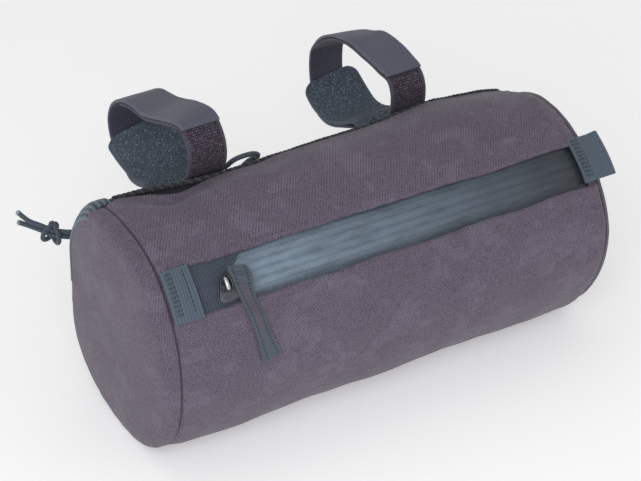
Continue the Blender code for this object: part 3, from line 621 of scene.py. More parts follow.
def loops_paint(name, dark, light, plain, half, border, density, scatter):
    """Hook or pile fastening cloth: light flecks on a dark ground, with a plain woven edge."""
    p, uv, u, v = uv_paint(name)
    cells = p.node("ShaderNodeTexVoronoi", {"feature": "F1"}, Scale=1.0, Randomness=scatter)
    p.plug(cells.inputs["Vector"], p.vector("MULTIPLY", uv, (density, density * 1.25, 1.0)))
    fleck = p.ramp(cells.outputs["Distance"], 0.46, 0.16)
    tone = p.split(cells.outputs["Color"])[0]
    curl = p.grain(uv, density * 1.1, density * 1.1, 4.0, 0.75)
    curl.node.inputs["Distortion"].default_value = 1.6
    lines = p.ramp(p.size(p.math("SUBTRACT", curl, 0.5)), 0.060, 0.0)
    shine = p.math("MAXIMUM", p.times(fleck, p.ramp(tone, 0.1, 0.8, 0.35, 1.0)), p.times(lines, 0.55 * scatter))
    colour = p.mix(shine, dark, light)
    rim = p.ramp(p.size(v), half - border - 0.0004, half - border + 0.0002)
    ribs = p.wave(u, 0.0011)
    colour = p.mix(rim, colour, p.mix(ribs, dim(plain, 0.7), dim(plain, 1.15)))
    height = p.times(p.plus(shine, curl), p.math("SUBTRACT", 1.0, p.times(rim, 0.9)))
    return p.done(colour, 0.8, p.bump(height, 0.0008, 0.9), specular=0.35, sheen=0.10)


def metal_paint(name, tone, rough):
    p = Paint(name)
    wear = p.noise(p.place(), 900.0, 3.0, 0.6)
    colour = p.mix(p.ramp(wear, 0.4, 0.7, 0.0, 0.25), tone, tuple(min(1.0, c * 2.2 + 0.03) for c in tone))
    return p.done(colour, p.ramp(wear, 0.3, 0.7, rough, rough + 0.12), p.bump(wear, 0.00005, 0.3), metallic=1.0)


def cord_paint():
    p, _, u, v = uv_paint("elastic_cord_look")
    left = p.math("FRACT", p.plus(p.times(u, 420.0), p.times(v, 5.0)))
    right = p.math("FRACT", p.math("SUBTRACT", p.times(u, 420.0), p.times(v, 5.0)))
    braid = p.math("MAXIMUM", p.math("PINGPONG", left, 0.5), p.math("PINGPONG", right, 0.5))
    fleck = p.noise(p.place(), 3000.0, 2.0, 0.6)
    base = (0.052, 0.070, 0.092)
    colour = p.mix(p.ramp(braid, 0.1, 0.5), dim(base, 0.45), dim(base, 1.6))
    colour = p.mix(p.ramp(fleck, 0.5, 0.8, 0.0, 0.3), colour, dim(base, 2.2))
    return p.done(colour, 0.7, p.bump(braid, 0.0004, 0.7), specular=0.35, sheen=0.2)


def thread_paint(name, tone):
    p = Paint(name)
    twist = p.noise(p.place(), 4000.0, 2.0, 0.6)
    return p.done(p.mix(twist, dim(tone, 0.6), dim(tone, 1.4)), 0.6, p.bump(twist, 0.0001, 0.5), specular=0.4)


LOOK = {
    "fabric": fabric_paint("body_fabric_look"),
    "panel": panel_paint(),
    "zip_upper": zip_paint("zip_tape_upper_look"),
    "zip_lower": zip_paint("zip_tape_lower_look"),
    "webbing": webbing_paint("webbing_look", (0.096, 0.130, 0.172), 0.0015, depth=0.5),
    "garage": webbing_paint("garage_look", (0.070, 0.090, 0.128), 0.0012, across=False),
    "binding": webbing_paint("binding_look", (0.090, 0.118, 0.150), 0.0026, depth=1.5, chevron=0.08),
    "ribbon": webbing_paint("ribbon_look", (0.088, 0.108, 0.138), 0.0011, mid=(0.120, 0.080, 0.115), depth=0.4),
    "strap": strap_paint("strap_tape_look", (0.102, 0.109, 0.150)),
    "inner": strap_paint("strap_inside_look", (0.066, 0.067, 0.102)),
    "hook": loops_paint(
        "hook_look", (0.024, 0.011, 0.026), (0.260, 0.225, 0.320), (0.082, 0.074, 0.106),
        0.01025, 0.0016, 780.0, 0.35,
    ),
    "pile": loops_paint(
        "pile_look", (0.058, 0.084, 0.120), (0.330, 0.425, 0.540), (0.090, 0.120, 0.160),
        0.0152, 0.0008, 820.0, 1.0,
    ),
    "metal": metal_paint("slider_look", (0.115, 0.125, 0.145), 0.40),
    "bright": metal_paint("slider_bridge_look", (0.52, 0.54, 0.57), 0.22),
    "bail": metal_paint("bail_look", (0.055, 0.060, 0.068), 0.30),
    "cord": cord_paint(),
    "tip": thread_paint("cord_tip_look", (0.30, 0.34, 0.37)),
    "thread": thread_paint("thread_look", (0.030, 0.037, 0.048)),
    "bead": webbing_paint("edge_bead_look", (0.062, 0.076, 0.098), 0.0010),
    "bead_dark": webbing_paint("edge_bead_dark_look", (0.014, 0.018, 0.026), 0.0010),
}


# ---- camera, set first ----
def make_camera():
    az, el, distance, focal = math.radians(31.08), math.radians(33.14), 0.99204, 2000.0
    aside, below = 22.71, 15.97
    back = Vector((-math.sin(az) * math.cos(el), -math.cos(az) * math.cos(el), math.sin(el)))
    right = Vector((math.cos(az), -math.sin(az), 0.0))
    up = back.cross(right)
    ahead = (-back * focal - right * aside + up * below).normalized()
    data = bpy.data.cameras.new("camera")
    data.sensor_width = 36.0
    data.lens = 36.0 * math.sqrt(focal**2 + aside**2 + below**2) / PHOTO_WIDTH
    data.clip_start = 0.05
    made = add("camera", data)
    z = -ahead
    x = up.cross(z).normalized()
    y = z.cross(x)
    turn = Matrix((x, y, z)).transposed().to_4x4()
    made.matrix_world = Matrix.Translation(back * distance + Vector((0, 0, CZ))) @ turn
    bpy.context.scene.camera = made


make_camera()

# ---- cord: its route follows the part's, with a lower arch and a nearer knot ----
CORD = 0.0025
LEFT_X, RIGHT_X = -0.064, 0.058
ARCH_LEFT = LEFT_X + 0.0285 / 2 + GAP + 0.0006 + CORD / 2
ARCH_SPAN = 0.0165
ARCH_ANGLE = -31.0
ARCH_AHEAD = 6.0
ARCH_HEIGHT = 0.0026
TAIL_FAN = 0.0015
KNOT_WIRE_SHARE = 0.96
CORD_REST = GAP + 0.0004 + CORD / 2
# Columns: how far past the left end, how far back, height over the bag's middle line
KNOT_ROWS = np.array(
    [
        (-0.004, 0.0600, 0.0178), (0.002, 0.0625, 0.0182), (0.008, 0.0668, 0.0190), (0.0125, 0.0705, 0.0212),
        (0.0165, 0.0750, 0.0225), (0.0200, 0.0800, 0.0245),
    ]
)
# Columns: share of half the span, share of the way ahead, share of the height
ARCH_ROWS = [
    (1.00, 0.0, 0.00), (1.00, 0.35, 0.12), (0.88, 0.70, 0.52), (0.50, 0.93, 0.90), (0.00, 1.0, 1.00),
    (-0.50, 0.93, 0.90), (-0.88, 0.70, 0.52), (-1.00, 0.35, 0.12), (-1.00, 0.0, 0.00),
]


def strand_route(foot_x, route, way, from_arch):
    def resting(x, a, height=0.0):
        return at(x, a, section_radius(x, a) + CORD_REST + height)

    points = []
    if from_arch:
        middle = ARCH_LEFT + ARCH_SPAN / 2
        for across, ahead, height in ARCH_ROWS[:-1]:
            a = ARCH_ANGLE + degrees_of(GAP) + ahead * ARCH_AHEAD
            points.append(resting(middle + across * ARCH_SPAN / 2, a, height * ARCH_HEIGHT))
    points += [resting(foot_x, a) for a in np.linspace(ARCH_ANGLE, route + 7, 9)]
    points.append(resting(foot_x - 0.002, route + 2))
    points += [resting(x, route) for x in np.linspace(foot_x - 0.007, -0.106, 6)]
    spread = CORD / 2 + GAP / 2
    for k, (out, back, height) in enumerate(KNOT_ROWS):
        fan = spread + (TAIL_FAN if k == len(KNOT_ROWS) - 1 else 0.0)
        points.append((-HALF - out, back, CZ + height + way * fan))
    return smooth_line(points, 0.002)


def make_cords():
    knot = make_knot()
    for name, foot, route, way, arch, nodes in (
        ("cord_main", ARCH_LEFT, -70.0, 1, True, ("cord_strand_upper", "cord_arch")),
        ("cord_second", ARCH_LEFT + ARCH_SPAN, -74.5, -1, False, ("cord_strand_lower",)),
    ):
        line = strand_route(foot, route, way, arch)
        made = joined(name, [tube_mesh(line, CORD / 2)], "cord")
        keep(made, nodes)
        t = line[-1] - line[-2]
        t /= np.linalg.norm(t)
        tip = [line[-1] + t * d for d in (-0.0011, 0.0, 0.00035, 0.0006)]
        radii = np.array([1.10, 1.12, 0.95, 0.6]) * CORD / 2
        end = joined(name + "_tip", [tube_mesh(np.array(tip), radii)], "tip")
        end.parent = made


def make_knot():
    """An overhand knot in the doubled cord: two turns of it wrap round the strands."""
    before, here, after = KNOT_ROWS[1:4] * (-1, 1, 1) + (-HALF, 0, CZ)
    along = (after - before) / np.linalg.norm(after - before)
    side = np.cross(along, (0, 0, 1.0))
    side /= np.linalg.norm(side)
    up = np.cross(side, along)
    parts = []
    wire = CORD / 2 * KNOT_WIRE_SHARE
    for shift, phase, tilt in ((-0.0012, 0.0, 0.0030), (0.0014, 0.35, -0.0026)):
        turn = np.linspace(-0.25, 2 * np.pi * 1.12, 44) + phase
        line = (
            here
            + along * (shift + tilt * np.sin(turn + 0.5))[:, None]
            + up * (0.0050 * np.cos(turn))[:, None]
            + side * (0.0027 * np.sin(turn))[:, None]
        )
        parts.append(tube_mesh(line, wire))
    made = joined("cord_knot_tied", parts, "cord")
    keep(made, ("cord_knot",))
    return made


make_cords()


# ---- fabric wrap and ends ----
def eased(start, end, count, power=0.5):
    """Values closer together near both ends."""
    t = np.linspace(0, 1, count)
    return start + (end - start) * ((1 - power) * t + power * (1 - np.cos(np.pi * t)) / 2)


def lip(x, seed):
    """How far the slit's edge wanders, in degrees."""
    return 0.55 * wander(x, 0.045, seed, 8) + 0.18 * wander(x, 0.012, seed + 1, 6)


def wrap_patch(x, start, end, count, lift):
    """A patch of the wrap from angle start to end, with a rolled hem on both sides."""
    share = np.linspace(0, 1, count)[None, :]
    start, end = start[:, None], end[:, None]
    t = 0.5 * share + 0.5 * (1 - np.cos(np.pi * share)) / 2
    a = start + (end - start) * t
    grid_x = np.repeat(x[:, None], count, axis=1)
    r = fabric_radius(grid_x, a)
    for edge in (start, end):
        off = arc_between(a, edge)
        r = r + lift * np.exp(-((off / 0.0042) ** 2))
        r = r - 0.0011 * np.clip(1 - off / 0.0011, 0, 1) ** 2
    points, uv = [at(grid_x, a, r)], [flat(grid_x, a)]
    # columns: how far the hem turns inwards and back
    turned = ((0.0008, 0.0001), (0.0016, -0.0004), (0.0019, -0.0014))
    for k, side in ((0, -1), (-1, 1)):
        hem = np.stack([at(x, a[:, k] + side * degrees_of(back), r[:, k] - inward) for inward, back in turned], 1)
        hem_uv = np.repeat(flat(x, a[:, k])[:, None], len(turned), 1)
        if side < 0:
            points, uv = [hem[:, ::-1], *points], [hem_uv[:, ::-1], *uv]
        else:
            points, uv = [*points, hem], [*uv, hem_uv]
    return np.concatenate(points, 1), np.concatenate(uv, 1)


def make_wrap():
    x = eased(-HALF - 0.0003, HALF + 0.0003, 261, 0.25)
    top = SLIT_TOP + lip(x, 21)
    low = SLIT_BOTTOM + lip(x, 31)
    front = edge_angle(x) + degrees_of(0.0004)
    grids = [
        wrap_patch(x, front, top, 66, 0.0011),
        wrap_patch(x, low, np.full_like(x, 360 + REAR - degrees_of(0.0006)), 150, 0.0009),
    ]
    for low_x, high_x in ((-HALF, -HALF + 0.0062), (HALF - 0.0062, HALF)):
        xs = np.linspace(low_x, high_x, 8)
        a = np.linspace(SLIT_TOP - 2.5, SLIT_BOTTOM + 2.5, 24)
        gx, ga = grid(xs, a)
        grids.append((at(gx, ga, fabric_radius(gx, ga) - 0.0006), flat(gx, ga)))
    parts = [(p.reshape(-1, 3), grid_faces(*p.shape[:2], True), uv.reshape(-1, 2)) for p, uv in grids]
    made = joined("wrap_fabric", parts, "fabric")
    keep(made, ("body_wrap",))


def make_end(name, node, side, seed):
    count = 216
    a = np.linspace(0, 360, count, endpoint=False)
    turn = np.radians(a)
    rim = section_radius(side * HALF, a)
    rows = []
    # columns: how far out past the half length, share of the rim's radius
    profile = smooth_line(
        [
            (-0.0012, 0.990), (0.0004, 0.989), (0.0014, 0.990), (0.0024, 0.987), (0.0033, 0.978),
            (0.0041, 0.960), (0.0048, 0.930), (0.0056, 0.860), (0.0063, 0.740), (0.0069, 0.580),
            (0.0073, 0.400), (0.0075, 0.200), (0.0076, 0.040),
        ],
        0.010,
    )
    puff = 0.0032 if side < 0 else -0.0012
    for out, share in profile:
        inward = (1 - share) * R
        out = out + puff * min(1.0, max(0.0, out) / 0.0045)
        fade = math.exp(-((inward / 0.010) ** 1.4))
        ripple = waves(np.stack([turn * R, 0 * a + inward * 0.5], -1), 0.0088, seed)
        r = rim * share
        slack = waves(np.stack([-r * np.sin(turn), r * np.cos(turn)], -1), 0.050, seed + 1)
        near_seam = min(1.0, max(0.0, out) / 0.002)
        x = side * (HALF + out + 0.00010 * fade * ripple * near_seam + 0.0006 * slack * (1 - fade))
        rows.append(at(x, a, r + 0.00006 * fade * ripple))
    points = np.array(rows)
    n = len(points)
    verts = np.vstack([points.reshape(-1, 3), points[-1].mean(0)[None]])
    faces = grid_faces(n, count, side < 0, True)
    last = (n - 1) * count
    fan = [[last + j, last + (j + 1) % count, n * count] for j in range(count)]
    faces += [f[::-1] for f in fan] if side < 0 else fan
    # laid flat from the middle outwards, so the weave isn't drawn out where the end turns into its seam
    steps = np.linalg.norm(np.diff(points, axis=0), axis=2).mean(1)
    reach = 0.04 * R + np.append(np.cumsum(steps[::-1])[::-1], 0.0)
    y = np.append((-reach[:, None] * np.sin(turn)).ravel(), 0.0)
    z = np.append((reach[:, None] * np.cos(turn)).ravel(), 0.0) + CZ
    uv = np.stack([y * 0.966 + z * 0.259, z * 0.966 - y * 0.259], -1)
    made = mesh_object(name, verts, faces, uv)
    made.data.materials.append(LOOK["fabric"])
    keep(made, (node,))


make_wrap()
make_end("end_fabric_left", "end_panel_left", -1, 41)
make_end("end_fabric_right", "end_panel_right", 1, 51)


# ---- dark panel, its edge and bindings ----
def make_panel():
    x = eased(-HALF, HALF, 160, 0.2)
    share = np.linspace(0, 1, 44)[None, :]
    start = np.full((len(x), 1), REAR + degrees_of(0.0004))
    end = (edge_angle(x) - degrees_of(0.0002))[:, None]
    a = start + (end - start) * share
    gx = np.repeat(x[:, None], 44, 1)
    p = flat(gx, a)
    r = section_radius(gx, a) + 0.00035 * waves(p, 0.04, 8)
    from_end = HALF - np.abs(gx)
    r = r - 0.0005 * np.clip(1 - from_end / 0.0025, 0, 1) ** 2
    made = cloth("panel_cloth", at(gx, a, r), 0.0016, "panel", uv=p)
    keep(made, ("mount_panel",))
    # its hem, tucked under the front fabric; its black also stands in for the shadow in the gap under the
    # fabric's edge
    x = x[2:-2]
    edge = edge_angle(x)
    rows = []
    # columns: degrees ahead of the edge, depth under the cloth
    tucks = ((-1.2, 0.0006), (-0.3, 0.0004), (0.5, 0.0009), (1.6, 0.0022), (4.0, 0.0030), (7.0, 0.0036))
    for ahead, under_by in tucks:
        base = section_radius(x, edge)
        if ahead > 0.4:
            base = np.minimum(wrap_radius(x, edge + ahead), base)
        rows.append(at(x, edge + ahead, base - under_by))
    points = np.stack(rows, 1)
    keep(cloth("panel_hem_shade", points, 0.0008, "panel"))


def make_edge():
    """The beaded edge: two cords twisted together along the panel's front."""
    reach = HALF - 0.004 - GAP - BEAD
    x = np.linspace(-reach, reach, 1500)
    a = edge_angle(x)
    a = a + 0.30 * wander(x, 0.03, 61, 6)
    base = at(x, a + degrees_of(0.0002), section_radius(x, a) + BEAD * 0.55)
    s, b = frames_along(base)
    run = run_along(base)
    parts = []
    pitch = 0.0048
    wobble = 1 + 0.10 * np.sin(run / 0.0023) * np.sin(run / 0.0171)
    wobble = wobble * (1 + 0.25 * wander(run, 0.011, 63, 6))
    for phase in (0.0, np.pi):
        turn = 2 * np.pi * run / pitch + phase
        line = base + (s * np.cos(turn)[:, None] + b * np.sin(turn)[:, None]) * (BEAD * 0.52 * wobble)[:, None]
        parts.append(tube_mesh(line[::2], BEAD * 0.66, 7))
    made = joined("edge_beads", parts[:1], "bead")
    keep(made, ("panel_edge",))
    other = joined("edge_beads_dark", parts[1:], "bead_dark")
    other.parent = made


def end_face(share, side=1):
    """How far out the end bulges, at a share of its rim's radius."""
    puff = 0.0030 * min(1.0, (1 - share) / 0.06) if side < 0 else 0.0
    return HALF + GAP + WALL + BULGE * (1 - share**BULGE_POWER) + puff


def make_binding(name, node, side):
    lift = GAP + 0.0009
    rim_x = side * HALF
    front = float(edge_angle(rim_x)) - degrees_of(BEAD)
    rows = []
    for a in np.linspace(REAR, front, 60):
        inner_x = rim_x - side * 0.004
        rim = float(section_radius(rim_x, a))
        tuck = 0.0016 * max(0.0, 1 - (front - a) / 4.0) ** 2
        corner = [
            at(inner_x, a, float(section_radius(inner_x, a)) + 0.4 * lift - tuck),
            at(rim_x - side * 0.001, a, rim + lift - tuck),
            at(side * (HALF + 0.0012), a, rim + lift - 0.0001 - tuck),
            at(side * (end_face(1.0) + 0.5 * lift), a, rim + 0.4 * lift - tuck),
            at(side * (end_face(0.985, side) + 1.1 * lift), a, rim * 0.985 - tuck),
            at(side * (end_face(0.96, side) + 1.2 * lift), a, rim * 0.96 - tuck),
            at(side * (end_face(0.93, side) + lift), a, rim * 0.93 - tuck),
            at(side * (end_face(0.90, side) + 0.7 * lift), a, rim * 0.90 - tuck),
        ]
        row = smooth_line(corner, 0.0004)
        row = read_at(np.linspace(0, 1, 31), np.linspace(0, 1, len(row)), row)
        rows.append(row if side < 0 else row[::-1])
    points = np.array(rows)
    uv = grid_uv(points)
    ribs = 0.00010 * np.cos(2 * np.pi * uv[..., 1] / 0.0026)
    points = points - normals_of(points) * ribs[..., None]
    made = cloth(name, points, 0.0011, "binding", uv=uv, flip=True)
    keep(made, (node,))


make_panel()
make_edge()
make_binding("binding_tape_left", "panel_binding_left", -1)
make_binding("binding_tape_right", "panel_binding_right", 1)


# ---- pocket zip ----
def under(x, a):
    """The level just under the wrap's cloth."""
    return wrap_radius(x, a) - WALL - GAP


def zip_level(x, a):
    """The tape's face: two low ridges beside the seam, the band edges, and slow waves."""
    to_seam = arc_between(a, ZIP_SEAM)
    r = under(x, a) - 0.0006
    r = r + 0.0006 * np.exp(-((to_seam / 0.0062) ** 4))
    r = r + 0.00015 * np.exp(-(((to_seam - 0.0026) / 0.0016) ** 2))
    p = flat(x, a)
    r = r + 0.00038 * waves(p, 0.040, 71) + 0.00012 * waves(p, 0.014, 72)
    return r - 0.0006 * np.clip(1 - to_seam / 0.0007, 0, 1) ** 1.5


def make_zip():
    hem = degrees_of(0.0042)
    x = eased(-0.1148, 0.1148, 260, 0.1)
    shift = degrees_of(0.00012)
    halves = (("upper", SLIT_TOP - hem, ZIP_SEAM - shift), ("lower", ZIP_SEAM + shift, SLIT_BOTTOM + hem))
    for half, start, end in halves:
        gx, ga = grid(x, np.linspace(start, end, 46))
        uv = np.stack([gx, arc_between(ga, ZIP_SEAM)], -1)
        made = cloth(f"zip_tape_{half}", at(gx, ga, zip_level(gx, ga)), 0.0008, f"zip_{half}", uv=uv, flip=True)
        keep(made, (f"pocket_zip_{half}",))
    # the garage, whose right edge runs slantwise under the slider
    share = np.linspace(0, 1, 44)[:, None]
    edge = degrees_of(2 * GAP)
    a = np.linspace(SLIT_TOP + edge - 0.8, SLIT_BOTTOM - edge + 0.8, 30)[None, :]
    right = np.interp(a, (36.0, 42.0, 45.5, 47.0, 57.5), (-0.0768, -0.0835, -0.0868, -0.0842, -0.0800))
    gx = (-HALF + 0.0150) + share * (right - (-HALF + 0.0150))
    ga = np.repeat(a, 44, 0)
    r = np.maximum(zip_level(gx, ga), under(gx, ga) - 0.0002) + 0.0012 + 0.00014 * np.cos(2 * np.pi * gx / 0.0012)
    r = r - 0.0004 * np.clip(1 - (right - gx) / 0.0012, 0, 1) ** 2
    made = cloth("zip_garage", at(gx, ga, r), 0.0009, "garage", uv=flat(gx, ga), flip=True)
    keep(made, ("pocket_zip_garage",))


def local_frame(x, a, r):
    """A matrix whose X runs along the bag, Y down its front and Z out of it."""
    turn = math.radians(a)
    down = Vector((0.0, -math.cos(turn), -math.sin(turn)))
    out = Vector((0.0, -math.sin(turn), math.cos(turn)))
    m = Matrix((Vector((1, 0, 0)), down, out)).transposed().to_4x4()
    m.translation = Vector(at(x, a, r).tolist())
    return m


def plate(bm, outline, low, high):
    """A flat closed plate from an outline."""
    bottom = [bm.verts.new((x, y, low)) for x, y in outline]
    top = [bm.verts.new((x, y, high)) for x, y in outline]
    bm.faces.new(bottom[::-1])
    bm.faces.new(top)
    for i in range(len(outline)):
        k = (i + 1) % len(outline)
        bm.faces.new((bottom[i], bottom[k], top[k], top[i]))


SLIDER_X, SLIDER_A = -0.0895, 50.0


def make_slider():
    base = float(under(SLIDER_X, SLIDER_A)) + 0.0016
    m = local_frame(SLIDER_X, SLIDER_A, base)
    mm = 0.001
    # columns: along the bag, down the front, in millimetres
    outline = smooth_line(
        [(-2.6, -3.6), (0.0, -4.3), (2.9, -3.9), (4.4, -1.5), (4.9, 1.6), (4.7, 3.7), (0.4, 4.6), (-4.0, 4.2),
         (-4.6, 2.2), (-3.6, -1.0), (-2.6, -3.6)],
        0.8,
    )[:-1]
    outline = [((x - 0.6) * mm, (y + 2.0) * mm) for x, y in outline]
    bm = bmesh.new()
    plate(bm, outline, 0.0, 0.9 * mm)
    plate(bm, [(x * 0.97, y * 0.95) for x, y in outline], 2.1 * mm, 3.2 * mm)
    plate(bm, [(x * 0.28, y * 0.55) for x, y in outline], 0.8 * mm, 2.2 * mm)
    mesh = bpy.data.meshes.new("slider_body")
    bm.to_mesh(mesh)
    bm.free()
    mesh.transform(m)
    made = add("slider_body", mesh)
    mesh.materials.append(LOOK["metal"])
    soft = made.modifiers.new("Soft", "BEVEL")
    soft.width = 0.45 * mm
    soft.segments = 3
    mesh.polygons.foreach_set("use_smooth", [True] * len(mesh.polygons))
    keep(made, ("zip_slider",))
    share = np.linspace(0, np.pi, 24)
    bridge = np.stack([-0.2 + 0 * share, -3.0 * np.cos(share) - 1.7, 3.0 + 1.8 * np.sin(share) ** 0.7], 1) * mm
    strap = np.array([m @ Vector(p) for p in bridge])
    arch = joined("slider_bridge", [tube_mesh(strap, 0.00115, 10)], "bright")
    arch.parent = made
    return m


def make_pull(m):
    mm = 0.001
    # a drop-shaped bail through the bridge, holding the ribbon's fold
    line = smooth_line(
        [(-3.0, 1.3), (-2.9, -0.4), (-2.0, -2.7), (-0.7, -4.2), (0.6, -4.7), (1.8, -4.0), (2.5, -2.2),
         (2.7, -0.2), (2.3, 1.8), (0.9, 2.8), (-1.3, 2.5), (-3.0, 1.3)],
        0.3,
    )
    line = np.column_stack([line[:, 0] * mm, line[:, 1] * mm, 0 * line[:, 0]])
    lean = Matrix.Rotation(math.radians(-8), 4, "Y")
    ring = np.array([m @ (Matrix.Translation((-0.4 * mm, -1.4 * mm, 4.7 * mm)) @ lean @ Vector(p)) for p in line])
    bail = joined("pull_bail", [tube_mesh(ring, 0.00060)], "bail")
    keep(bail, ("zip_puller",))
    # the ribbon: sewn to a loop round the bail, then down the front to its flattened cut end
    # columns: angle, x of its middle, half width, height over the fabric, skew of its right edge in degrees
    table = np.array(
        [
            (41.8, -0.0818, 0.0036, 0.0030, -0.6), (42.8, -0.0819, 0.0046, 0.0052, -1.0),
            (45.0, -0.0820, 0.0051, 0.0060, -1.4), (48.0, -0.0820, 0.0050, 0.0058, -1.6),
            (51.0, -0.0820, 0.0046, 0.0050, -1.5), (54.0, -0.0816, 0.0040, 0.0044, -1.2),
            (57.5, -0.0811, 0.0038, 0.0036, -1.0), (61.0, -0.0804, 0.0038, 0.0026, -0.9),
            (66.0, -0.0793, 0.0038, 0.0020, -0.6), (72.0, -0.0779, 0.0038, 0.0018, -0.2),
            (78.0, -0.0765, 0.0041, 0.0018, 0.4), (82.0, -0.0755, 0.0044, 0.0019, 1.0),
            (86.2, -0.0744, 0.0047, 0.0021, 1.6),
        ]
    )
    line = smooth_line(table * (1, 60, 60, 60, 1), 0.55) / (1, 60, 60, 60, 1)
    rows = []
    for a, x, half, lift, skew in line:
        over = max(0.0, min(1.0, (a - 56.0) / 6.0))
        on_cloth = float(fabric_radius(x, max(a, SLIT_BOTTOM)))
        in_slit = float(wrap_radius(x, min(a, SLIT_BOTTOM))) - 0.0014
        ground = over * on_cloth + (1 - over) * in_slit
        row = []
        for w in np.linspace(-1, 1, 13):
            groove = -0.00030 * math.exp(-((abs(w) - 0.42) / 0.10) ** 2)
            curl = 0.0004 * w * w * math.sin(a / 6.0) + (groove if a > 49 else 0.0)
            row.append(at(x + w * half, a - skew * w, ground + lift + curl))
        rows.append(row)
    points = np.array(rows)
    ribbon = cloth("pull_ribbon", points, 0.0015, "ribbon", bevel=0.35, flip=True)
    keep(ribbon, ("zip_ribbon",))
    n = normals_of(points, True)
    rows = [int(np.argmin(np.abs(line[:, 0] - a))) for a in (45.6, 46.9, 50.4)]
    sewn = sewn_rows("ribbon_stitches", points, n, rows, 0.0013, 0.00020)
    sewn.parent = ribbon


make_zip()
make_pull(make_slider())


# ---- webbing tabs ----
def make_tabs():
    half = degrees_of(WEB) / 2
    x = np.linspace(-HALF + 0.0004, -HALF + 0.0142, 44)
    a = np.linspace(TAB_MIDDLE - half, TAB_MIDDLE + half, 44)
    gx, ga = grid(x, a)
    r = fabric_radius(np.clip(gx, -HALF + 0.003, HALF), ga) + GAP
    smooth = wrap_radius(gx, ga) + GAP
    r = np.maximum(0.35 * r + 0.65 * smooth, smooth) + 0.0021
    from_edge = x[-1] - gx
    fold = np.exp(-(((from_edge - 0.0011) / 0.0011) ** 2))
    r = r + 0.0009 * fold - 0.0007 * np.clip(1 - from_edge / 0.0005, 0, 1)
    r = r - 0.0015 * np.clip(1 - (gx - x[0]) / 0.003, 0, 1) ** 2
    r = r + 0.00014 * waves(flat(gx, ga), 0.012, 81)
    points = at(gx, ga, r)
    uv = flat(gx, ga)[..., ::-1]
    tab = cloth("tab_left", points, 0.0020, "webbing", bevel=0.35, uv=uv)
    keep(tab, ("webbing_tab_left",))
    n = normals_of(points, True)
    outwards = (points - np.array([0, 0, CZ])) * np.array([0, 1, 1])
    n = n * np.sign((n * outwards).sum(-1, keepdims=True))
    sewn = sewn_rows("tab_left_stitches", points, n, (6, 9, 12, 31), 0.0021, 0.00026, 2)
    sewn.parent = tab

    lift = GAP + 0.0007
    drop = 0.0024
    tip = HALF + 0.0105
    rows = []
    middle = TAB_MIDDLE - 3.0
    for b in np.linspace(middle - half, middle + half, 44):
        root = float(wrap_radius(HALF - 0.0085, b)) + lift
        rim = float(wrap_radius(HALF, b)) + lift
        droop = root - rim
        low = rim + 0.60 * droop
        path = [
            (HALF - 0.0085, root),
            (HALF - 0.00425, float(wrap_radius(HALF - 0.00425, b)) + lift),
            (HALF, rim + 0.0003),
            (end_face(1.0) + 2 * GAP, rim + GAP),
            (HALF + 0.0055, rim + 0.10 * droop),
            (tip - drop / 2, low),
            (tip - 0.0002, low - 0.25 * drop),
            (tip, low - drop / 2),
            (tip - 0.0002, low - 0.75 * drop),
            (tip - drop / 2, low - drop),
            (end_face(0.85) + 0.0014, rim + 0.30 * droop - drop),
        ]
        line = smooth_line(path, 0.0003)
        have = run_along(line)
        line = read_at(np.linspace(0, have[-1], 64), have, line)
        rows.append(at(line[:, 0], b, line[:, 1]))
    points = np.array(rows).transpose(1, 0, 2)
    uv = grid_uv(points)[..., ::-1]
    tab = cloth("tab_right", points, 0.0013, "webbing", 0.0, 0.35, uv=uv, flip=True)
    keep(tab, ("webbing_tab_right",))
    n = normals_of(points, True)
    sewn = sewn_rows("tab_right_stitches", points + n * 0.00065, n, (4, 7, 10, 14), 0.0021, 0.00024, 2)
    sewn.parent = tab


make_tabs()

# ---- straps ----
STRAP_W, STRAP_T = 0.0205, 0.0016
FLAP_W, FLAP_T = 0.0285, 0.0018
DEPTH, HEIGHT = 0.085, 0.060
# Columns: share of the loop's depth, share of its height, share of the strap's lean
LEFT_LOOP = [
    (0.245, 0.932, 0.0), (0.214, 1.010, 0.0), (0.200, 1.075, 0.0), (0.192, 1.153, 0.0), (0.204, 1.243, 0.0),
    (0.241, 1.315, 0.0), (0.297, 1.361, 0.2), (0.383, 1.347, 0.6), (0.536, 1.270, 1.0), (0.667, 1.199, 1.0),
    (0.786, 1.151, 0.9), (0.904, 1.136, 0.6), (0.997, 1.120, 0.4), (1.096, 1.069, 0.1), (1.185, 0.986, 0.0),
    (1.235, 0.895, 0.0), (1.260, 0.792, 0.0), (1.256, 0.698, 0.0), (1.236, 0.624, 0.0), (1.187, 0.561, 0.0),
    (1.132, 0.503, 0.0), (1.069, 0.450, 0.0), (1.011, 0.413, 0.0), (0.930, 0.419, 0.0), (0.847, 0.455, 0.0),
    (0.765, 0.492, 0.0),
]
RIGHT_LOOP = [
    (0.388, 0.838, 0.0), (0.378, 0.920, 0.0), (0.374, 0.985, 0.0), (0.376, 1.044, 0.0), (0.399, 1.118, 0.0),
    (0.443, 1.162, 0.3), (0.533, 1.172, 1.0), (0.623, 1.183, 1.5), (0.737, 1.200, 1.4), (0.853, 1.213, 0.5),
    (0.958, 1.196, -0.6), (1.077, 1.147, -1.0), (1.186, 1.065, -0.9), (1.260, 0.970, -0.3),
    (1.310, 0.870, 0.0), (1.330, 0.767, 0.0), (1.338, 0.662, 0.0), (1.333, 0.565, 0.0), (1.321, 0.471, 0.0),
    (1.300, 0.380, 0.0), (1.267, 0.313, 0.0), (1.217, 0.275, 0.0), (1.143, 0.269, 0.0), (1.044, 0.305, 0.0),
    (0.935, 0.375, 0.0), (0.810, 0.455, 0.0),
]
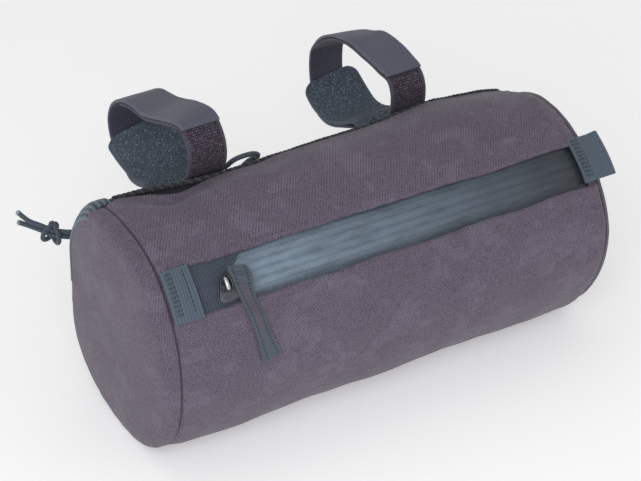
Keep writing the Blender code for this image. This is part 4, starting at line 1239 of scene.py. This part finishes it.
# Columns: depth and height shares of the flap's near edge, then of its far edge
LEFT_FLAP = [
    (0.690, 0.600, 0.690, 0.602), (0.775, 0.563, 0.760, 0.588), (0.865, 0.550, 0.830, 0.680),
    (0.960, 0.562, 0.905, 0.770), (1.060, 0.588, 0.990, 0.840), (1.150, 0.615, 1.060, 0.868),
    (1.192, 0.660, 1.095, 0.880),
]
RIGHT_FLAP = [
    (0.695, 0.590, 0.695, 0.597), (0.815, 0.505, 0.815, 0.520), (0.930, 0.425, 0.930, 0.455),
    (1.045, 0.385, 1.020, 0.455), (1.156, 0.395, 1.105, 0.505), (1.230, 0.440, 1.175, 0.560),
    (1.279, 0.498, 1.240, 0.612), (1.303, 0.560, 1.290, 0.652),
]


def loop_point(back, height):
    return (back * DEPTH, CZ + height * HEIGHT)


def on_panel(x, a, lift):
    """Y and Z of a place over the dark panel."""
    p = at(x, a, section_radius(x, a) + lift)
    return (p[1], p[2])


def offset_line(line, distance):
    along = np.gradient(line, axis=0)
    along /= np.linalg.norm(along, axis=1)[:, None]
    return line + np.stack([-along[:, 1], along[:, 0]], 1) * distance


def strip(name, centre, width, near, far, thickness, look, seed, corner=0.0):
    """Tape from its two edge lines, with slightly wandering edges; corner rounds its far end."""
    near, far = np.asarray(near), np.asarray(far)
    run = run_along(near)
    across = np.linspace(-1, 1, STRIP_POINTS)
    rows = []
    aside = 0.00022 * wander(run, 0.02, seed, 8)
    for i in range(len(near)):
        half = width / 2
        left = run[-1] - run[i]
        if corner and left < corner:
            half -= corner - math.sqrt(max(corner**2 - (corner - left) ** 2, 0.0))
        w = across * half
        share = 0.5 + w / width
        yz = near[i] + share[:, None] * (far[i] - near[i])
        rows.append(np.column_stack([centre + aside[i] + w, yz]))
    points = np.array(rows)
    points = points + normals_of(points) * (0.00012 * waves(points, 0.014, seed + 1))[..., None]
    uv = np.stack([np.repeat(run[:, None], STRIP_POINTS, 1), points[..., 0] - centre], -1)
    made = cloth(name, points, thickness, look, 0.0, 0.38, uv=uv, inside="inner")
    return made, points


def front_foot(point):
    return math.degrees(math.atan2(-point[0], point[1] - CZ)) - 6.0


def make_strap(side, centre, loop, flap, lean, cover_start, band_end, seed):
    run = smooth_line([(*loop_point(back, height), share * lean) for back, height, share in loop], 0.0012)
    contact, lift = run[:, :2], run[:, 2]
    share = np.linspace(0, 1, len(contact))
    aside = (STRAP_T + GAP) / 2
    inner, outer = offset_line(contact, -aside), offset_line(contact, aside)
    rest = GAP + STRAP_T / 2

    def up(values, before, after):
        v = np.concatenate([np.zeros(before), values, np.zeros(after)])
        return np.stack([0 * v, v], 1)

    foot = np.array([on_panel(centre, a, rest) for a in np.linspace(-46.0, front_foot(inner[0]), 14)])
    use = share <= band_end
    near = np.vstack([foot, inner[use]])
    lean_of = up(lift[use], len(foot), 0)
    band, band_points = strip(f"band_{side}", centre, STRAP_W, near, near + lean_of, STRAP_T, "hook", seed)
    keep(band, (f"strap_{side}_band",))

    foot = np.array([on_panel(centre, a, rest) for a in np.linspace(-57.0, -50.0, 6)])
    use = share >= cover_start
    near = np.vstack([outer[use], foot])
    lean_of = up(lift[use], 0, len(foot))
    cover, _ = strip(f"cover_{side}", centre, STRAP_W, near, near + lean_of, STRAP_T, "strap", seed + 3)
    keep(cover, (f"strap_{side}_cover",))

    flap_lift = rest + STRAP_T / 2 + FLAP_T / 2 + GAP + 0.0011
    foot = [on_panel(centre, a, flap_lift) for a in np.linspace(-50.0, -57.0, 3)]
    rows = [(*p, *p) for p in foot]
    rows += [(*loop_point(*row[:2]), *loop_point(*row[2:])) for row in flap]
    line = smooth_line(rows, 0.0014)
    tail = [line[-2] + t * (line[-1] - line[-2]) for t in (0.35, 0.7, 0.92, 1.0)]
    line = np.vstack([line[:-1], tail])
    aside, wider = (0.0003, 0.0032) if side == "left" else (-0.0010, 0.0020)
    near, far = line[:, :2], line[:, 2:]
    made, flap_points = strip(
        f"flap_{side}", centre + aside, FLAP_W + wider, near, far, FLAP_T, "pile", seed + 6, 0.006
    )
    keep(made, (f"strap_{side}_flap",))

    parts = []
    for points, axis, out, thickness, pitch, sewn_at in (
        (band_points, 1, -1.0, STRAP_T, 0.0022, (15, 17, 20)),
        (flap_points, 2, 1.0, FLAP_T, 0.0024, (6, 9)),
    ):
        n = normals_of(points, True)
        for k in sewn_at:
            outwards = (out if n[k, 7, axis] > 0 else -out) * n[k, 1:-1]
            parts += stitches(points[k, 1:-1] + outwards * thickness * 0.5, outwards, pitch, 0.00022)
    keep(joined(f"strap_{side}_stitches", parts, "thread"))


make_strap("left", LEFT_X, LEFT_LOOP, LEFT_FLAP, 0.0040, 0.155, 0.56, 100)
make_strap("right", RIGHT_X, RIGHT_LOOP, RIGHT_FLAP, 0.0022, 0.115, 0.56, 120)


# ---- cord keeper ----
def make_keeper():
    angles = np.linspace(-61.0, -83.5, 40)
    raised = np.interp(-angles, (61.0, 64.5, 67.6, 72.2, 76.9, 80.0, 83.5), (0, 0, 1, 1, 1, 0, 0))
    gx, ga = grid(np.linspace(-0.104, -0.096, 9), angles)
    r = section_radius(gx, ga) + GAP + raised * (CORD + 2 * GAP + 0.0004) + 0.0012
    made = cloth("cord_keeper", at(gx, ga, r), 0.0011, "garage", bevel=0.35)
    keep(made, ("cord_tab",))


make_keeper()


# ---- floor, lights and world ----
FLOOR_GLOW = 0.30
WORLD_LIGHT = 0.52
WHITE = (1.0, 1.0, 1.0, 1.0)


def make_stage():
    bpy.ops.mesh.primitive_plane_add(size=8.0, location=(0, 0, 0.0001))
    floor = bpy.context.active_object
    floor.name = "floor"
    p = Paint("floor_look")
    grain = p.noise(p.place(), 6.0, 2.0, 0.5)
    paint = p.done(p.mix(grain, (0.87, 0.87, 0.875), (0.90, 0.90, 0.905)), 0.85, specular=0.1)
    p.shader.inputs["Emission Color"].default_value = WHITE
    p.shader.inputs["Emission Strength"].default_value = FLOOR_GLOW
    floor.data.materials.append(paint)
    bpy.context.scene.view_settings.view_transform = "Standard"
    world = bpy.data.worlds.new("studio")
    bpy.context.scene.world = world
    world.use_nodes = True
    world.node_tree.nodes["Background"].inputs[0].default_value = WHITE
    world.node_tree.nodes["Background"].inputs[1].default_value = WORLD_LIGHT
    # columns: place, aim, size, watts
    for name, place, aim, size, watts in (
        ("key", (-0.52, -0.64, 0.60), (-0.03, 0.0, 0.06), 0.55, 3.3),
        ("fill", (0.95, -0.75, 0.60), (0.0, 0.0, 0.06), 0.9, 0.5),
        ("top", (-0.15, 0.35, 1.35), (0.0, 0.0, 0.06), 0.8, 0.8),
    ):
        data = bpy.data.lights.new(name, "AREA")
        data.shape = "SQUARE"
        data.size = size
        data.energy = watts
        made = add(name, data)
        made.location = place
        made.rotation_euler = (Vector(aim) - Vector(place)).to_track_quat("-Z", "Y").to_euler()


make_stage()


def write_sizes():
    def plain(box):
        return [[float(v) for v in corner] for corner in box]


write_sizes()
